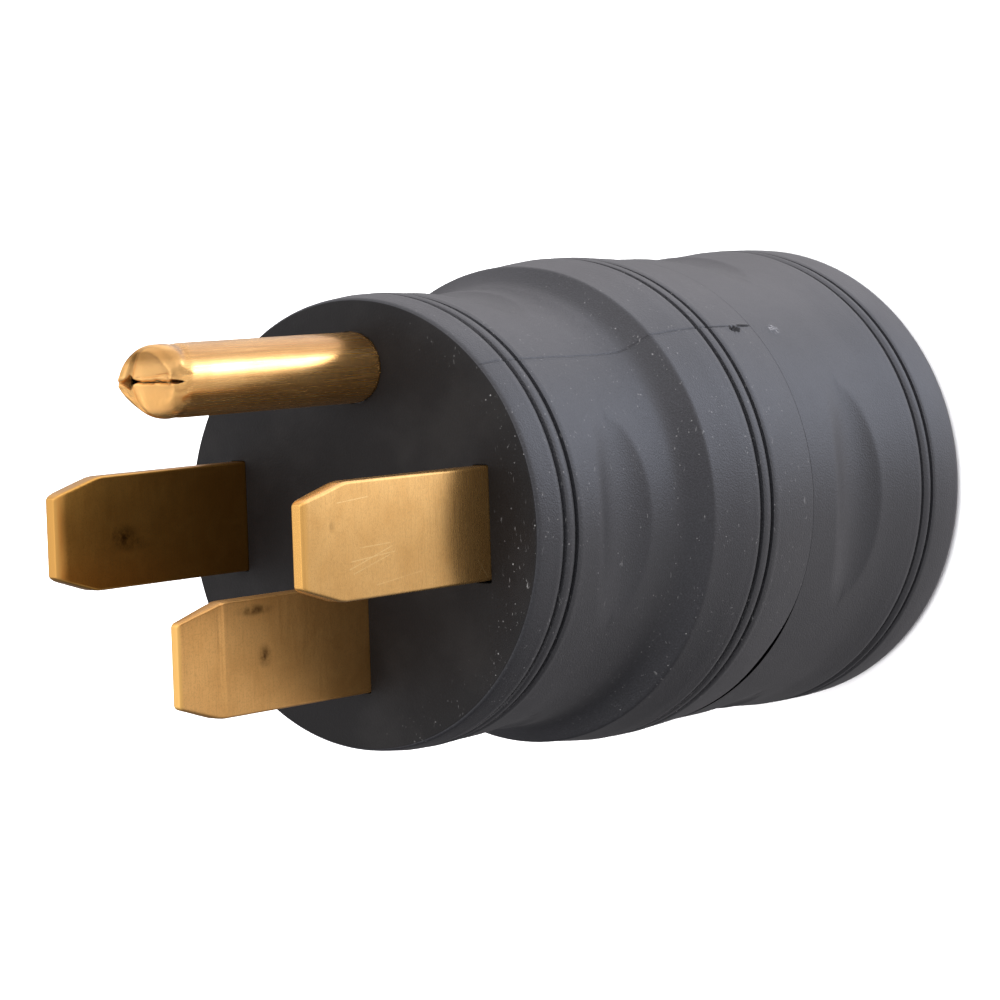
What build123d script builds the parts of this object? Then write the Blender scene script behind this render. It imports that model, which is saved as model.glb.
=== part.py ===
# Round moulded plug adapter: four-prong male end on top, three-way socket
# face at the bottom. All sizes in millimetres.
# Frame: +Z runs along the body's axis toward the prong tips, the origin is the
# centre of the socket face the part stands on, +Y points to the round ground
# pin, +X is to the right seen from the prongs.
import os
from math import sin, cos, radians, sqrt
from build123d import *

os.makedirs("parts", exist_ok=True)

# ---------------------------------------------------------------- body sizes
H = 79.0              # socket face to prong face
SEAM_Z = 31.8         # where the two housings meet
R_FACE = 23.97        # flat of the prong face
R_CAV_UP = 21.3       # cavity behind the prong face
R_CAV_MID = 23.3      # cavity under the shoulder
R_CAV_LOW = 23.0      # cavity of the socket housing
UP_WALL_Z = 73.0      # inner side of the prong wall
LOW_WALL_Z = 6.0      # inner side of the socket wall
SPIGOT_R = 24.9       # spigot of the lower housing
SPIGOT_TOP = 39.2
SPIGOT_BORE = 25.0    # counterbore it sits in
SPIGOT_BORE_TOP = 39.6
GROOVE_R = 0.34       # half width of one trim groove
DIMPLE_DEPTH = 0.8    # finger dimple at its deepest
DIMPLE_AXIS = 10.4    # offset of the dimple's turning axis behind the centre
DIMPLE_TUBE = 12.5    # long-section radius of the dimple
DIMPLE_LOW_Z = 22.0   # dimples round the lower housing
DIMPLE_UP_Z = 63.4    # dimples round the waist

# --------------------------------------------------------------- prong sizes
BLADE_W = 12.07       # blade width
BLADE_T = 2.0         # blade thickness
BLADE_L = 29.3        # blade length in front of the face
BLADE_TIP_W = 8.7     # width of the flat tip
BLADE_TAPER = 6.2     # length of the tapered tip
BLADE_TIP_T = 1.55    # thickness at the tip edge
SHOULDER_W = 17.3     # shoulders trapped inside
TAIL_W = 9.0          # width of the riveted tail
TAIL_Z = 47.0         # lower end of the tail
HOT_X = 17.0          # half spacing of the two side blades
HOT_Y = 0.63
NEU_Y = -12.03        # centre of the bottom blade
PIN_Y = 16.95         # centre of the ground pin
PIN_R = 3.81
PIN_NECK_R = 3.6      # held length of the pin, behind the face
PIN_WALL = 1.1
PIN_L = 32.2          # ground pin length in front of the face
PIN_NOSE = 2.4        # length of the closed nose

# ------------------------------------------------------- inner stack heights
CARRIER_Z = 64.0      # under side of the blade carrier
POCKET_H = 3.0        # depth of the shoulder pockets
PLATE_Z = 61.0        # under side of the clamp plate
BOSS_R = 3.4
BOSS_MEET_Z = 41.0    # where the screw columns of both housings meet
CORNER = 13.15        # x and y of the screw corners
CONTACT_TOP = 26.0    # top of the contact carrier
COVER_TOP = 29.0      # top of the contact cover

# ------------------------------------------------------------- socket sizes
SOCK_X = 8.5          # half spacing of the two slanted slots
SOCK_Y = -4.5
SLOT_L = 9.4
SLOT_T = 2.4
GND_Y = 10.0          # ground hole
GND_HOLE_R = 3.4
INSERT_R = 14.4       # round socket insert, set into the socket face
GND_BORE_R = 3.1      # bore of the ground sleeve
LEAF_T = 0.9          # contact leaf thickness
LEAF_GAP = 1.6        # gap between the leaves
STRAP_T = 1.5         # conductor strap thickness
STRAP_Z = 42.0        # under side of the level part of each strap
RIVET_R = 1.6
RIVET_HEAD_R = 2.6
RIVET_HEAD_H = 0.9
UP_RIVET_Z = 52.0
LOW_RIVET_Z = 35.5

HOUSE_CORNERS = [(CORNER, CORNER), (-CORNER, -CORNER)]
CLAMP_CORNERS = [(-CORNER, CORNER), (CORNER, -CORNER)]


def along(x, y, z, dx, dy):
    """Place whose own Z points level along (dx, dy)."""
    return Plane(origin=(x, y, z), x_dir=(0, 0, 1), z_dir=(dx, dy, 0)).location


def dimple_spots(z):
    """Centres of the four dimple cutters round the body at one height."""
    out = []
    for a in (0, 90, 180, 270):
        out.append((-DIMPLE_AXIS * sin(radians(a)), -DIMPLE_AXIS * cos(radians(a)), z))
    return out


def dimple_big(radius):
    """Major radius of a dimple cutter on a body of the given radius."""
    return radius - DIMPLE_DEPTH + DIMPLE_AXIS + DIMPLE_TUBE


# ------------------------------------------------------------ upper housing
with BuildPart() as front_housing:
    with BuildSketch(Plane.XZ):
        with BuildLine():
            Polyline((0, SEAM_Z), (27.05, SEAM_Z), (27.28, SEAM_Z + 0.25))
            Spline((27.28, SEAM_Z + 0.25), (27.5, 35.5), (27.67, 39.0), (27.72, 42.4),
                   (27.58, 45.0), (27.32, 47.4), (27.12, 49.4), (27.0, 50.9))
            Line((27.0, 50.9), (26.72, 51.35))
            Spline((26.72, 51.35), (25.55, 53.0), (24.75, 54.5), (24.5, 56.6))
            Spline((24.5, 56.6), (24.48, 64.0), (24.66, 71.6), (24.74, 75.3), (24.38, 78.55))
            RadiusArc((24.38, 78.55), (R_FACE, H), -0.46)
            Polyline((R_FACE, H), (0, H), (0, SEAM_Z))
        make_face()
    revolve(axis=Axis.Z)
    # trim grooves in pairs
    for rr, zz in ((24.74, 74.7), (24.69, 72.6), (27.72, 42.6), (27.72, 40.6)):
        with Locations((0, 0, zz)):
            Torus(rr + 0.02, GROOVE_R * 1.25, mode=Mode.SUBTRACT)
    # four finger dimples round the waist
    with Locations(*dimple_spots(DIMPLE_UP_Z)):
        Torus(dimple_big(24.5), DIMPLE_TUBE, mode=Mode.SUBTRACT)
    # stepped cavity
    with BuildSketch(Plane.XY.offset(SEAM_Z)):
        Circle(SPIGOT_BORE)
    extrude(amount=SPIGOT_BORE_TOP - SEAM_Z, mode=Mode.SUBTRACT)
    with BuildSketch(Plane.XY.offset(SPIGOT_BORE_TOP)):
        Circle(R_CAV_MID)
    extrude(amount=52.5 - SPIGOT_BORE_TOP, mode=Mode.SUBTRACT)
    with BuildSketch(Plane.XY.offset(52.5)):
        Circle(R_CAV_UP)
    extrude(amount=UP_WALL_Z - 52.5, mode=Mode.SUBTRACT)
    # two screw columns
    with BuildSketch(Plane.XY.offset(BOSS_MEET_Z)):
        with Locations(*HOUSE_CORNERS):
            Circle(BOSS_R)
    extrude(amount=UP_WALL_Z - BOSS_MEET_Z)
    # webs that tie the lower stretch of the columns to the wider wall
    with BuildSketch(Plane.XY.offset(BOSS_MEET_Z)):
        with PolarLocations(21.6, 2, start_angle=45):
            Rectangle(4.0, 3.0)
    extrude(amount=52.5 - BOSS_MEET_Z)
    with BuildSketch(Plane.XY.offset(BOSS_MEET_Z)):
        with Locations(*HOUSE_CORNERS):
            Circle(1.8)
    extrude(amount=15.0, mode=Mode.SUBTRACT)
    # pilot holes of the clamp screws
    with BuildSketch(Plane.XY.offset(UP_WALL_Z)):
        with Locations(*CLAMP_CORNERS):
            Circle(1.5)
    extrude(amount=4.2, mode=Mode.SUBTRACT)
    # slots for the blades and hole for the ground pin
    with BuildSketch(Plane.XY.offset(UP_WALL_Z)):
        with Locations((HOT_X, HOT_Y - 0.35), (-HOT_X, HOT_Y - 0.35)):
            Rectangle(BLADE_T + 0.2, BLADE_W + 0.9)
        with Locations((0, NEU_Y - 0.2)):
            Rectangle(BLADE_T + 0.2, BLADE_W + 0.6)
        with Locations((0, PIN_Y)):
            Circle(PIN_NECK_R + 0.08)
    extrude(amount=H - UP_WALL_Z, mode=Mode.SUBTRACT)
    # shallow relief round the pin where it leaves the face
    with BuildSketch(Plane.XY.offset(H - 0.5)):
        with Locations((0, PIN_Y)):
            Circle(PIN_R + 0.12)
    extrude(amount=0.5, mode=Mode.SUBTRACT)
    # small mould vent on the mould line near the seam
    with Locations((27.7 * sin(radians(45.5)), 27.7 * cos(radians(45.5)), 35.6)):
        Sphere(0.75, mode=Mode.SUBTRACT)
front_housing.part.label = "front_housing"

# ------------------------------------------------------------ lower housing
with BuildPart() as rear_housing:
    with BuildSketch(Plane.XZ):
        with BuildLine():
            Polyline((0, 0), (25.9, 0))
            RadiusArc((25.9, 0), (27.62, 1.75), -1.75)
            Spline((27.62, 1.75), (27.74, 5.0), (27.72, 8.6), (27.5, 12.4), (27.24, 16.6),
                   (27.2, 22.0), (27.24, 27.6), (27.28, SEAM_Z - 0.25))
            Polyline((27.28, SEAM_Z - 0.25), (27.05, SEAM_Z), (SPIGOT_R, SEAM_Z),
                     (SPIGOT_R, SPIGOT_TOP - 0.6), (SPIGOT_R - 0.6, SPIGOT_TOP),
                     (0, SPIGOT_TOP), (0, 0))
        make_face()
    revolve(axis=Axis.Z)
    for rr, zz in ((27.7, 9.0), (27.74, 7.1)):
        with Locations((0, 0, zz)):
            Torus(rr + 0.02, GROOVE_R * 1.25, mode=Mode.SUBTRACT)
    with Locations(*dimple_spots(DIMPLE_LOW_Z)):
        Torus(dimple_big(27.2), DIMPLE_TUBE, mode=Mode.SUBTRACT)
    with BuildSketch(Plane.XY.offset(LOW_WALL_Z)):
        Circle(R_CAV_LOW)
    extrude(amount=SPIGOT_TOP - LOW_WALL_Z, mode=Mode.SUBTRACT)
    # screw columns rising to meet those of the upper housing
    with BuildSketch(Plane.XY.offset(LOW_WALL_Z)):
        with Locations(*HOUSE_CORNERS):
            Circle(BOSS_R)
    extrude(amount=BOSS_MEET_Z - LOW_WALL_Z)
    with BuildSketch(Plane.XY.offset(LOW_WALL_Z)):
        with PolarLocations(21.8, 2, start_angle=45):
            Rectangle(3.4, 3.0)
    extrude(amount=SPIGOT_TOP - LOW_WALL_Z)
    with BuildSketch(Plane.XY):
        with Locations(*HOUSE_CORNERS):
            Circle(2.15)
    extrude(amount=BOSS_MEET_Z, mode=Mode.SUBTRACT)
    with BuildSketch(Plane.XY):
        with Locations(*HOUSE_CORNERS):
            Circle(3.5)
    extrude(amount=3.0, mode=Mode.SUBTRACT)
    # pilot holes of the cover screws
    with BuildSketch(Plane.XY.offset(2.2)):
        with Locations(*CLAMP_CORNERS):
            Circle(1.5)
    extrude(amount=LOW_WALL_Z - 2.2, mode=Mode.SUBTRACT)
    # round opening for the socket insert
    with BuildSketch(Plane.XY):
        Circle(INSERT_R + 0.05)
    extrude(amount=LOW_WALL_Z, mode=Mode.SUBTRACT)
rear_housing.part.label = "rear_housing"

# ------------------------ socket insert: round disc with slots and ground hole
with BuildPart() as socket_insert:
    with BuildSketch(Plane.XY):
        Circle(INSERT_R)
        with Locations(Location((SOCK_X, SOCK_Y, 0), (0, 0, 45)),
                       Location((-SOCK_X, SOCK_Y, 0), (0, 0, 135))):
            Rectangle(SLOT_L, SLOT_T, mode=Mode.SUBTRACT)
        with Locations((0, GND_Y)):
            Circle(GND_HOLE_R, mode=Mode.SUBTRACT)
    extrude(amount=LOW_WALL_Z)
socket_insert.part.label = "socket_insert"

# ------------------------------------------------- insulating blade carrier
with BuildPart() as blade_carrier:
    with BuildSketch(Plane.XY.offset(CARRIER_Z)):
        Circle(R_CAV_UP - 0.1)
        with Locations(*HOUSE_CORNERS):
            Circle(BOSS_R + 0.15, mode=Mode.SUBTRACT)
        with PolarLocations(21.6, 2, start_angle=45):
            Rectangle(5.0, 5.2, mode=Mode.SUBTRACT)
        with Locations(*CLAMP_CORNERS):
            Circle(1.7, mode=Mode.SUBTRACT)
        with Locations((HOT_X, HOT_Y), (-HOT_X, HOT_Y), (0, NEU_Y)):
            Rectangle(BLADE_T + 0.1, BLADE_W + 0.2, mode=Mode.SUBTRACT)
        with Locations((0, PIN_Y)):
            Circle(PIN_NECK_R + 0.05, mode=Mode.SUBTRACT)
    extrude(amount=UP_WALL_Z - CARRIER_Z)
    # pockets for the shoulders of the blades and the collar of the pin
    with BuildSketch(Plane.XY.offset(CARRIER_Z)):
        with Locations((HOT_X, HOT_Y), (-HOT_X, HOT_Y)):
            Rectangle(BLADE_T + 0.1, SHOULDER_W + 0.2)
        with Locations((0, NEU_Y - 0.35)):
            Rectangle(BLADE_T + 0.1, SHOULDER_W - 0.5)
        with Locations((0, PIN_Y - 0.9)):
            Circle(4.85)
    extrude(amount=POCKET_H, mode=Mode.SUBTRACT)
blade_carrier.part.label = "blade_carrier"

# ------------------------------------- clamp plate under the blade shoulders
with BuildPart() as blade_clamp_plate:
    with BuildSketch(Plane.XY.offset(PLATE_Z)):
        Circle(R_CAV_UP - 0.1)
        with Locations(*HOUSE_CORNERS):
            Circle(BOSS_R + 0.15, mode=Mode.SUBTRACT)
        with PolarLocations(21.6, 2, start_angle=45):
            Rectangle(5.0, 5.2, mode=Mode.SUBTRACT)
        with Locations(*CLAMP_CORNERS):
            Circle(1.7, mode=Mode.SUBTRACT)
        with Locations((HOT_X, HOT_Y), (-HOT_X, HOT_Y), (0, NEU_Y)):
            Rectangle(BLADE_T + 0.1, TAIL_W + 0.2, mode=Mode.SUBTRACT)
        with Locations((0, PIN_Y)):
            Rectangle(7.2, 2.1, mode=Mode.SUBTRACT)
    extrude(amount=CARRIER_Z - PLATE_Z)
blade_clamp_plate.part.label = "blade_clamp_plate"

# --------------------------------------------- pan-head screws of the clamp
with BuildPart() as clamp_screws:
    with BuildSketch(Plane.XY.offset(PLATE_Z - 2.2)):
        with Locations(*CLAMP_CORNERS):
            Circle(2.6)
    extrude(amount=2.2)
    with BuildSketch(Plane.XY.offset(PLATE_Z)):
        with Locations(*CLAMP_CORNERS):
            Circle(1.45)
    extrude(amount=77.0 - PLATE_Z)
    with BuildSketch(Plane.XY.offset(PLATE_Z - 2.2)):
        with Locations(*CLAMP_CORNERS):
            Rectangle(3.4, 0.7)
            Rectangle(0.7, 3.4)
    extrude(amount=1.2, mode=Mode.SUBTRACT)
    chamfer(clamp_screws.edges().group_by(Axis.Z)[-1], 0.5)
clamp_screws.part.label = "clamp_screws"


def blade_outline(up, down):
    """Side outline of a blade: tail, shoulders, straight part, tapered tip."""
    w, tw, s = BLADE_W / 2, TAIL_W / 2, SHOULDER_W / 2
    tip, top = BLADE_TIP_W / 2, H + BLADE_L
    return [(-tw, TAIL_Z), (tw, TAIL_Z), (tw, CARRIER_Z), (up, CARRIER_Z),
            (up, CARRIER_Z + POCKET_H), (w, CARRIER_Z + POCKET_H), (w, top - BLADE_TAPER),
            (tip, top), (-tip, top), (-w, top - BLADE_TAPER), (-w, CARRIER_Z + POCKET_H),
            (-down, CARRIER_Z + POCKET_H), (-down, CARRIER_Z), (-tw, CARRIER_Z)]


def tip_wedge():
    """Two wedges that thin the blade toward its tip, as a section in XZ."""
    top, t0, t1 = H + BLADE_L, BLADE_T / 2, BLADE_TIP_T / 2
    return [(t0 + 0.001, top - BLADE_TAPER * 0.55), (t1, top - 0.25), (t1 - 0.25, top + 0.01),
            (t0 + 0.5, top + 0.01), (t0 + 0.5, top - BLADE_TAPER * 0.55)]


# ------------------------------------------ side blade that feeds the socket
with BuildPart() as hot_blade:
    with BuildSketch(Plane.YZ.offset(HOT_X - BLADE_T / 2)):
        with Locations((HOT_Y, 0)):
            Polygon(*blade_outline(SHOULDER_W / 2, SHOULDER_W / 2), align=None)
        with Locations((HOT_Y, UP_RIVET_Z)):
            Circle(RIVET_R + 0.03, mode=Mode.SUBTRACT)
    extrude(amount=BLADE_T)
    with BuildSketch(Plane.XZ.offset(-20)):
        with Locations((HOT_X, 0)):
            Polygon(*tip_wedge(), align=None)
        with Locations((HOT_X, 0)):
            Polygon(*[(-x, z) for x, z in tip_wedge()], align=None)
    extrude(amount=40, mode=Mode.SUBTRACT)
hot_blade.part.label = "hot_blade"

# ------------------------------------------------- side blade left unused
with BuildPart() as idle_blade:
    with BuildSketch(Plane.YZ.offset(-HOT_X - BLADE_T / 2)):
        with Locations((HOT_Y, 0)):
            Polygon(*blade_outline(SHOULDER_W / 2, SHOULDER_W / 2), align=None)
        with Locations((HOT_Y, UP_RIVET_Z)):
            Circle(RIVET_R + 0.03, mode=Mode.SUBTRACT)
    extrude(amount=BLADE_T)
    with BuildSketch(Plane.XZ.offset(-20)):
        with Locations((-HOT_X, 0)):
            Polygon(*tip_wedge(), align=None)
        with Locations((-HOT_X, 0)):
            Polygon(*[(-x, z) for x, z in tip_wedge()], align=None)
    extrude(amount=40, mode=Mode.SUBTRACT)
idle_blade.part.label = "idle_blade"

# ------------------------------------------------------------ bottom blade
with BuildPart() as neutral_blade:
    with BuildSketch(Plane.YZ.offset(-BLADE_T / 2)):
        with Locations((NEU_Y, 0)):
            Polygon(*blade_outline(SHOULDER_W / 2 - 0.9, SHOULDER_W / 2 - 0.9), align=None)
        with Locations((NEU_Y, UP_RIVET_Z)):
            Circle(RIVET_R + 0.03, mode=Mode.SUBTRACT)
    extrude(amount=BLADE_T)
    with BuildSketch(Plane.XZ.offset(0)):
        Polygon(*tip_wedge(), align=None)
        Polygon(*[(-x, z) for x, z in tip_wedge()], align=None)
    extrude(amount=30, mode=Mode.SUBTRACT)
neutral_blade.part.label = "neutral_blade"

# --------------- rolled ground pin with a folded nose, a collar and a tail
with BuildPart() as ground_pin:
    with BuildSketch(Plane.XY.offset(CARRIER_Z)):
        with Locations((0, PIN_Y)):
            Circle(PIN_NECK_R)
    extrude(amount=H - CARRIER_Z)
    with BuildSketch(Plane.XY.offset(H)):
        with Locations((0, PIN_Y)):
            Circle(PIN_R)
    extrude(amount=PIN_L - PIN_NOSE)
    # blunt nose, a little dished in the middle
    with BuildSketch(Plane.XZ.offset(-PIN_Y)):
        with BuildLine():
            z0, z1 = H + PIN_L - PIN_NOSE, H + PIN_L
            Line((0, z0 - 0.01), (PIN_R, z0 - 0.01))
            Line((PIN_R, z0 - 0.01), (PIN_R, z0))
            Spline((PIN_R, z0), (3.6, z0 + 1.25), (3.0, z0 + 2.1), (2.3, z1),
                   tangents=[(0, 1), (-1, 0)])
            Spline((2.3, z1), (0, z1 - 0.8), tangents=[(-1, 0), (-1, 0)])
            Line((0, z1 - 0.8), (0, z0 - 0.01))
        make_face()
    revolve(axis=Axis((0, PIN_Y, 0), (0, 0, 1)))
    # hollow of the rolled sheet
    with BuildSketch(Plane.XY.offset(CARRIER_Z + 4.0)):
        with Locations((0, PIN_Y)):
            Circle(PIN_R - PIN_WALL)
    extrude(amount=H + PIN_L - PIN_NOSE - CARRIER_Z - 4.0, mode=Mode.SUBTRACT)
    # closed slit between the two folded lips of the nose, with an eye each side
    with BuildSketch(Plane.XY.offset(H + PIN_L - PIN_NOSE + 0.3)):
        with Locations((0, PIN_Y)):
            Rectangle(9.0, 0.22)
    extrude(amount=PIN_NOSE + 1.0, mode=Mode.SUBTRACT)
    with BuildSketch(Plane.XY.offset(H + PIN_L - PIN_NOSE + 0.3)):
        with Locations((3.1, PIN_Y), (-3.1, PIN_Y)):
            Circle(0.42)
    extrude(amount=PIN_NOSE + 1.0, mode=Mode.SUBTRACT)
    # long joint of the rolled sheet, on the far side
    with BuildSketch(Plane.XY.offset(H + 0.5)):
        with Locations((0, PIN_Y + PIN_R - 0.6)):
            Rectangle(0.24, 1.4)
    extrude(amount=PIN_L - PIN_NOSE - 0.5, mode=Mode.SUBTRACT)
    # collar
    with BuildSketch(Plane.XY.offset(CARRIER_Z)):
        with Locations((0, PIN_Y - 0.9)):
            Circle(4.75)
    extrude(amount=POCKET_H)
    # flattened tail
    with BuildSketch(Plane.XZ.offset(-PIN_Y + 1.0)):
        with Locations((0, (TAIL_Z + CARRIER_Z) / 2)):
            Rectangle(7.0, CARRIER_Z - TAIL_Z)
        with Locations((0, UP_RIVET_Z)):
            Circle(RIVET_R + 0.03, mode=Mode.SUBTRACT)
    extrude(amount=-2.0)
ground_pin.part.label = "ground_pin"


def strap_level(a, b):
    """Convex outline round two footprints, as a list of corner points."""
    pts = sorted(set(a + b))

    def half(seq):
        out = []
        for p in seq:
            while len(out) > 1 and ((out[-1][0] - out[-2][0]) * (p[1] - out[-2][1])
                                    - (out[-1][1] - out[-2][1]) * (p[0] - out[-2][0])) <= 0:
                out.pop()
            out.append(p)
        return out
    low, high = half(pts), half(pts[::-1])
    return low[:-1] + high[:-1]


def turned_box(cx, cy, lx, ly, deg):
    """Corner points of a rectangle turned about its centre."""
    c, s = cos(radians(deg)), sin(radians(deg))
    return [(round(cx + x * c - y * s, 4), round(cy + x * s + y * c, 4))
            for x, y in ((-lx / 2, -ly / 2), (lx / 2, -ly / 2), (lx / 2, ly / 2), (-lx / 2, ly / 2))]


TAB_T = 1.2           # contact tab thickness
TAB_W = 7.4
off = (TAB_T + STRAP_T) / 2 * sqrt(0.5)

# ----------------------------------------- strap from side blade to contact
with BuildPart() as hot_strap:
    up_x = HOT_X - BLADE_T / 2 - STRAP_T / 2
    with BuildSketch(Plane.XY.offset(STRAP_Z)):
        Polygon(*strap_level(turned_box(up_x, HOT_Y, STRAP_T, 8.4, 0),
                             turned_box(SOCK_X + off, SOCK_Y - off, TAB_W, STRAP_T, 45)), align=None)
    extrude(amount=STRAP_T)
    with BuildSketch(Plane.XY.offset(STRAP_Z)):
        Polygon(*turned_box(up_x, HOT_Y, STRAP_T, 8.4, 0), align=None)
    extrude(amount=57.0 - STRAP_Z)
    with BuildSketch(Plane.XY.offset(31.0)):
        Polygon(*turned_box(SOCK_X + off, SOCK_Y - off, TAB_W, STRAP_T, 45), align=None)
    extrude(amount=STRAP_Z + STRAP_T - 31.0)
    with Locations(along(HOT_X, HOT_Y, UP_RIVET_Z, 1, 0)):
        Cylinder(RIVET_R + 0.03, 8, mode=Mode.SUBTRACT)
    with Locations(along(SOCK_X + off, SOCK_Y - off, LOW_RIVET_Z, 1, -1)):
        Cylinder(RIVET_R + 0.03, 6, mode=Mode.SUBTRACT)
hot_strap.part.label = "hot_strap"

# -------------------------------------- strap from bottom blade to contact
with BuildPart() as neutral_strap:
    up_x = -BLADE_T / 2 - STRAP_T / 2
    with BuildSketch(Plane.XY.offset(STRAP_Z)):
        Polygon(*strap_level(turned_box(up_x, NEU_Y, STRAP_T, 8.4, 0),
                             turned_box(-SOCK_X - off, SOCK_Y - off, TAB_W, STRAP_T, 135)), align=None)
    extrude(amount=STRAP_T)
    with BuildSketch(Plane.XY.offset(STRAP_Z)):
        Polygon(*turned_box(up_x, NEU_Y, STRAP_T, 8.4, 0), align=None)
    extrude(amount=57.0 - STRAP_Z)
    with BuildSketch(Plane.XY.offset(31.0)):
        Polygon(*turned_box(-SOCK_X - off, SOCK_Y - off, TAB_W, STRAP_T, 135), align=None)
    extrude(amount=STRAP_Z + STRAP_T - 31.0)
    with Locations(along(0, NEU_Y, UP_RIVET_Z, 1, 0)):
        Cylinder(RIVET_R + 0.03, 8, mode=Mode.SUBTRACT)
    with Locations(along(-SOCK_X - off, SOCK_Y - off, LOW_RIVET_Z, -1, -1)):
        Cylinder(RIVET_R + 0.03, 6, mode=Mode.SUBTRACT)
neutral_strap.part.label = "neutral_strap"

# --------------------------------------- strap from ground pin to its sleeve
with BuildPart() as ground_strap:
    with BuildSketch(Plane.XY.offset(STRAP_Z)):
        with Locations((0, (GND_Y + TAB_T / 2 + PIN_Y - 1.0) / 2)):
            Rectangle(7.0, PIN_Y - 1.0 - GND_Y - TAB_T / 2)
    extrude(amount=STRAP_T)
    with BuildSketch(Plane.XY.offset(STRAP_Z)):
        with Locations((0, PIN_Y - 1.0 - STRAP_T / 2)):
            Rectangle(7.0, STRAP_T)
    extrude(amount=57.0 - STRAP_Z)
    with BuildSketch(Plane.XY.offset(31.0)):
        with Locations((0, GND_Y + TAB_T / 2 + STRAP_T / 2)):
            Rectangle(7.0, STRAP_T)
    extrude(amount=STRAP_Z + STRAP_T - 31.0)
    with Locations(along(0, PIN_Y - 1.0, UP_RIVET_Z, 0, 1)):
        Cylinder(RIVET_R + 0.03, 6, mode=Mode.SUBTRACT)
    with Locations(along(0, GND_Y + 1.2, LOW_RIVET_Z, 0, 1)):
        Cylinder(RIVET_R + 0.03, 6, mode=Mode.SUBTRACT)
ground_strap.part.label = "ground_strap"

# ------------------------------------- rivets at the tails of the prongs
with BuildPart() as blade_rivets:
    grip = BLADE_T + STRAP_T
    for x in (HOT_X + BLADE_T / 2 - grip / 2, BLADE_T / 2 - grip / 2):
        y = HOT_Y if x > 5 else NEU_Y
        with Locations(along(x, y, UP_RIVET_Z, 1, 0)):
            Cylinder(RIVET_R, grip)
        with Locations(along(x - grip / 2 - RIVET_HEAD_H / 2, y, UP_RIVET_Z, 1, 0),
                       along(x + grip / 2 + RIVET_HEAD_H / 2, y, UP_RIVET_Z, 1, 0)):
            Cylinder(RIVET_HEAD_R, RIVET_HEAD_H)
    gy = PIN_Y + 1.0 - grip / 2
    with Locations(along(0, gy, UP_RIVET_Z, 0, 1)):
        Cylinder(RIVET_R, grip)
    with Locations(along(0, gy - grip / 2 - RIVET_HEAD_H / 2, UP_RIVET_Z, 0, 1),
                   along(0, gy + grip / 2 + RIVET_HEAD_H / 2, UP_RIVET_Z, 0, 1)):
        Cylinder(RIVET_HEAD_R, RIVET_HEAD_H)
blade_rivets.part.label = "blade_rivets"

# -------------------------------------- rivets at the tabs of the contacts
with BuildPart() as contact_rivets:
    grip = TAB_T + STRAP_T
    mid = STRAP_T / 2
    for side in (1, -1):
        dx, dy = side * sqrt(0.5), -sqrt(0.5)
        cx, cy = side * SOCK_X + dx * mid, SOCK_Y + dy * mid
        with Locations(along(cx, cy, LOW_RIVET_Z, dx, dy)):
            Cylinder(RIVET_R, grip)
        for sgn in (-1, 1):
            hx = cx + sgn * dx * (grip + RIVET_HEAD_H) / 2
            hy = cy + sgn * dy * (grip + RIVET_HEAD_H) / 2
            with Locations(along(hx, hy, LOW_RIVET_Z, dx, dy)):
                Cylinder(RIVET_HEAD_R, RIVET_HEAD_H)
    gy = GND_Y + mid
    with Locations(along(0, gy, LOW_RIVET_Z, 0, 1)):
        Cylinder(RIVET_R, grip)
    with Locations(along(0, gy - grip / 2 - RIVET_HEAD_H / 2, LOW_RIVET_Z, 0, 1),
                   along(0, gy + grip / 2 + RIVET_HEAD_H / 2, LOW_RIVET_Z, 0, 1)):
        Cylinder(RIVET_HEAD_R, RIVET_HEAD_H)
contact_rivets.part.label = "contact_rivets"

# ------------------------- moulded wall that keeps the three straps apart
with BuildPart() as strap_barrier:
    with BuildSketch(Plane.XY.offset(COVER_TOP)):
        with Locations((0, 7.0)):
            Rectangle(38.6, 1.5)
        with Locations((3.8, -6.0)):
            Rectangle(1.5, 25.0)
        # end feet along the outer ends
        with Locations((19.0, 7.0), (-19.0, 7.0)):
            Rectangle(1.0, 3.0)
    extrude(amount=PLATE_Z - COVER_TOP)
strap_barrier.part.label = "strap_barrier"

# --------------------------------- moulded block that holds the contacts
with BuildPart() as contact_carrier:
    with BuildSketch(Plane.XY.offset(LOW_WALL_Z)):
        Circle(R_CAV_LOW - 0.1)
        with Locations(*HOUSE_CORNERS):
            Circle(BOSS_R + 0.15, mode=Mode.SUBTRACT)
        with PolarLocations(22.4, 2, start_angle=45):
            Rectangle(6.0, 5.2, mode=Mode.SUBTRACT)
        with Locations(*CLAMP_CORNERS):
            Circle(1.7, mode=Mode.SUBTRACT)
        with Locations(Location((SOCK_X, SOCK_Y, 0), (0, 0, 45)),
                       Location((-SOCK_X, SOCK_Y, 0), (0, 0, 135))):
            Rectangle(12.4, 6.0, mode=Mode.SUBTRACT)
        with Locations((0, GND_Y)):
            Circle(5.3, mode=Mode.SUBTRACT)
    extrude(amount=CONTACT_TOP - LOW_WALL_Z)
contact_carrier.part.label = "contact_carrier"

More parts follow.
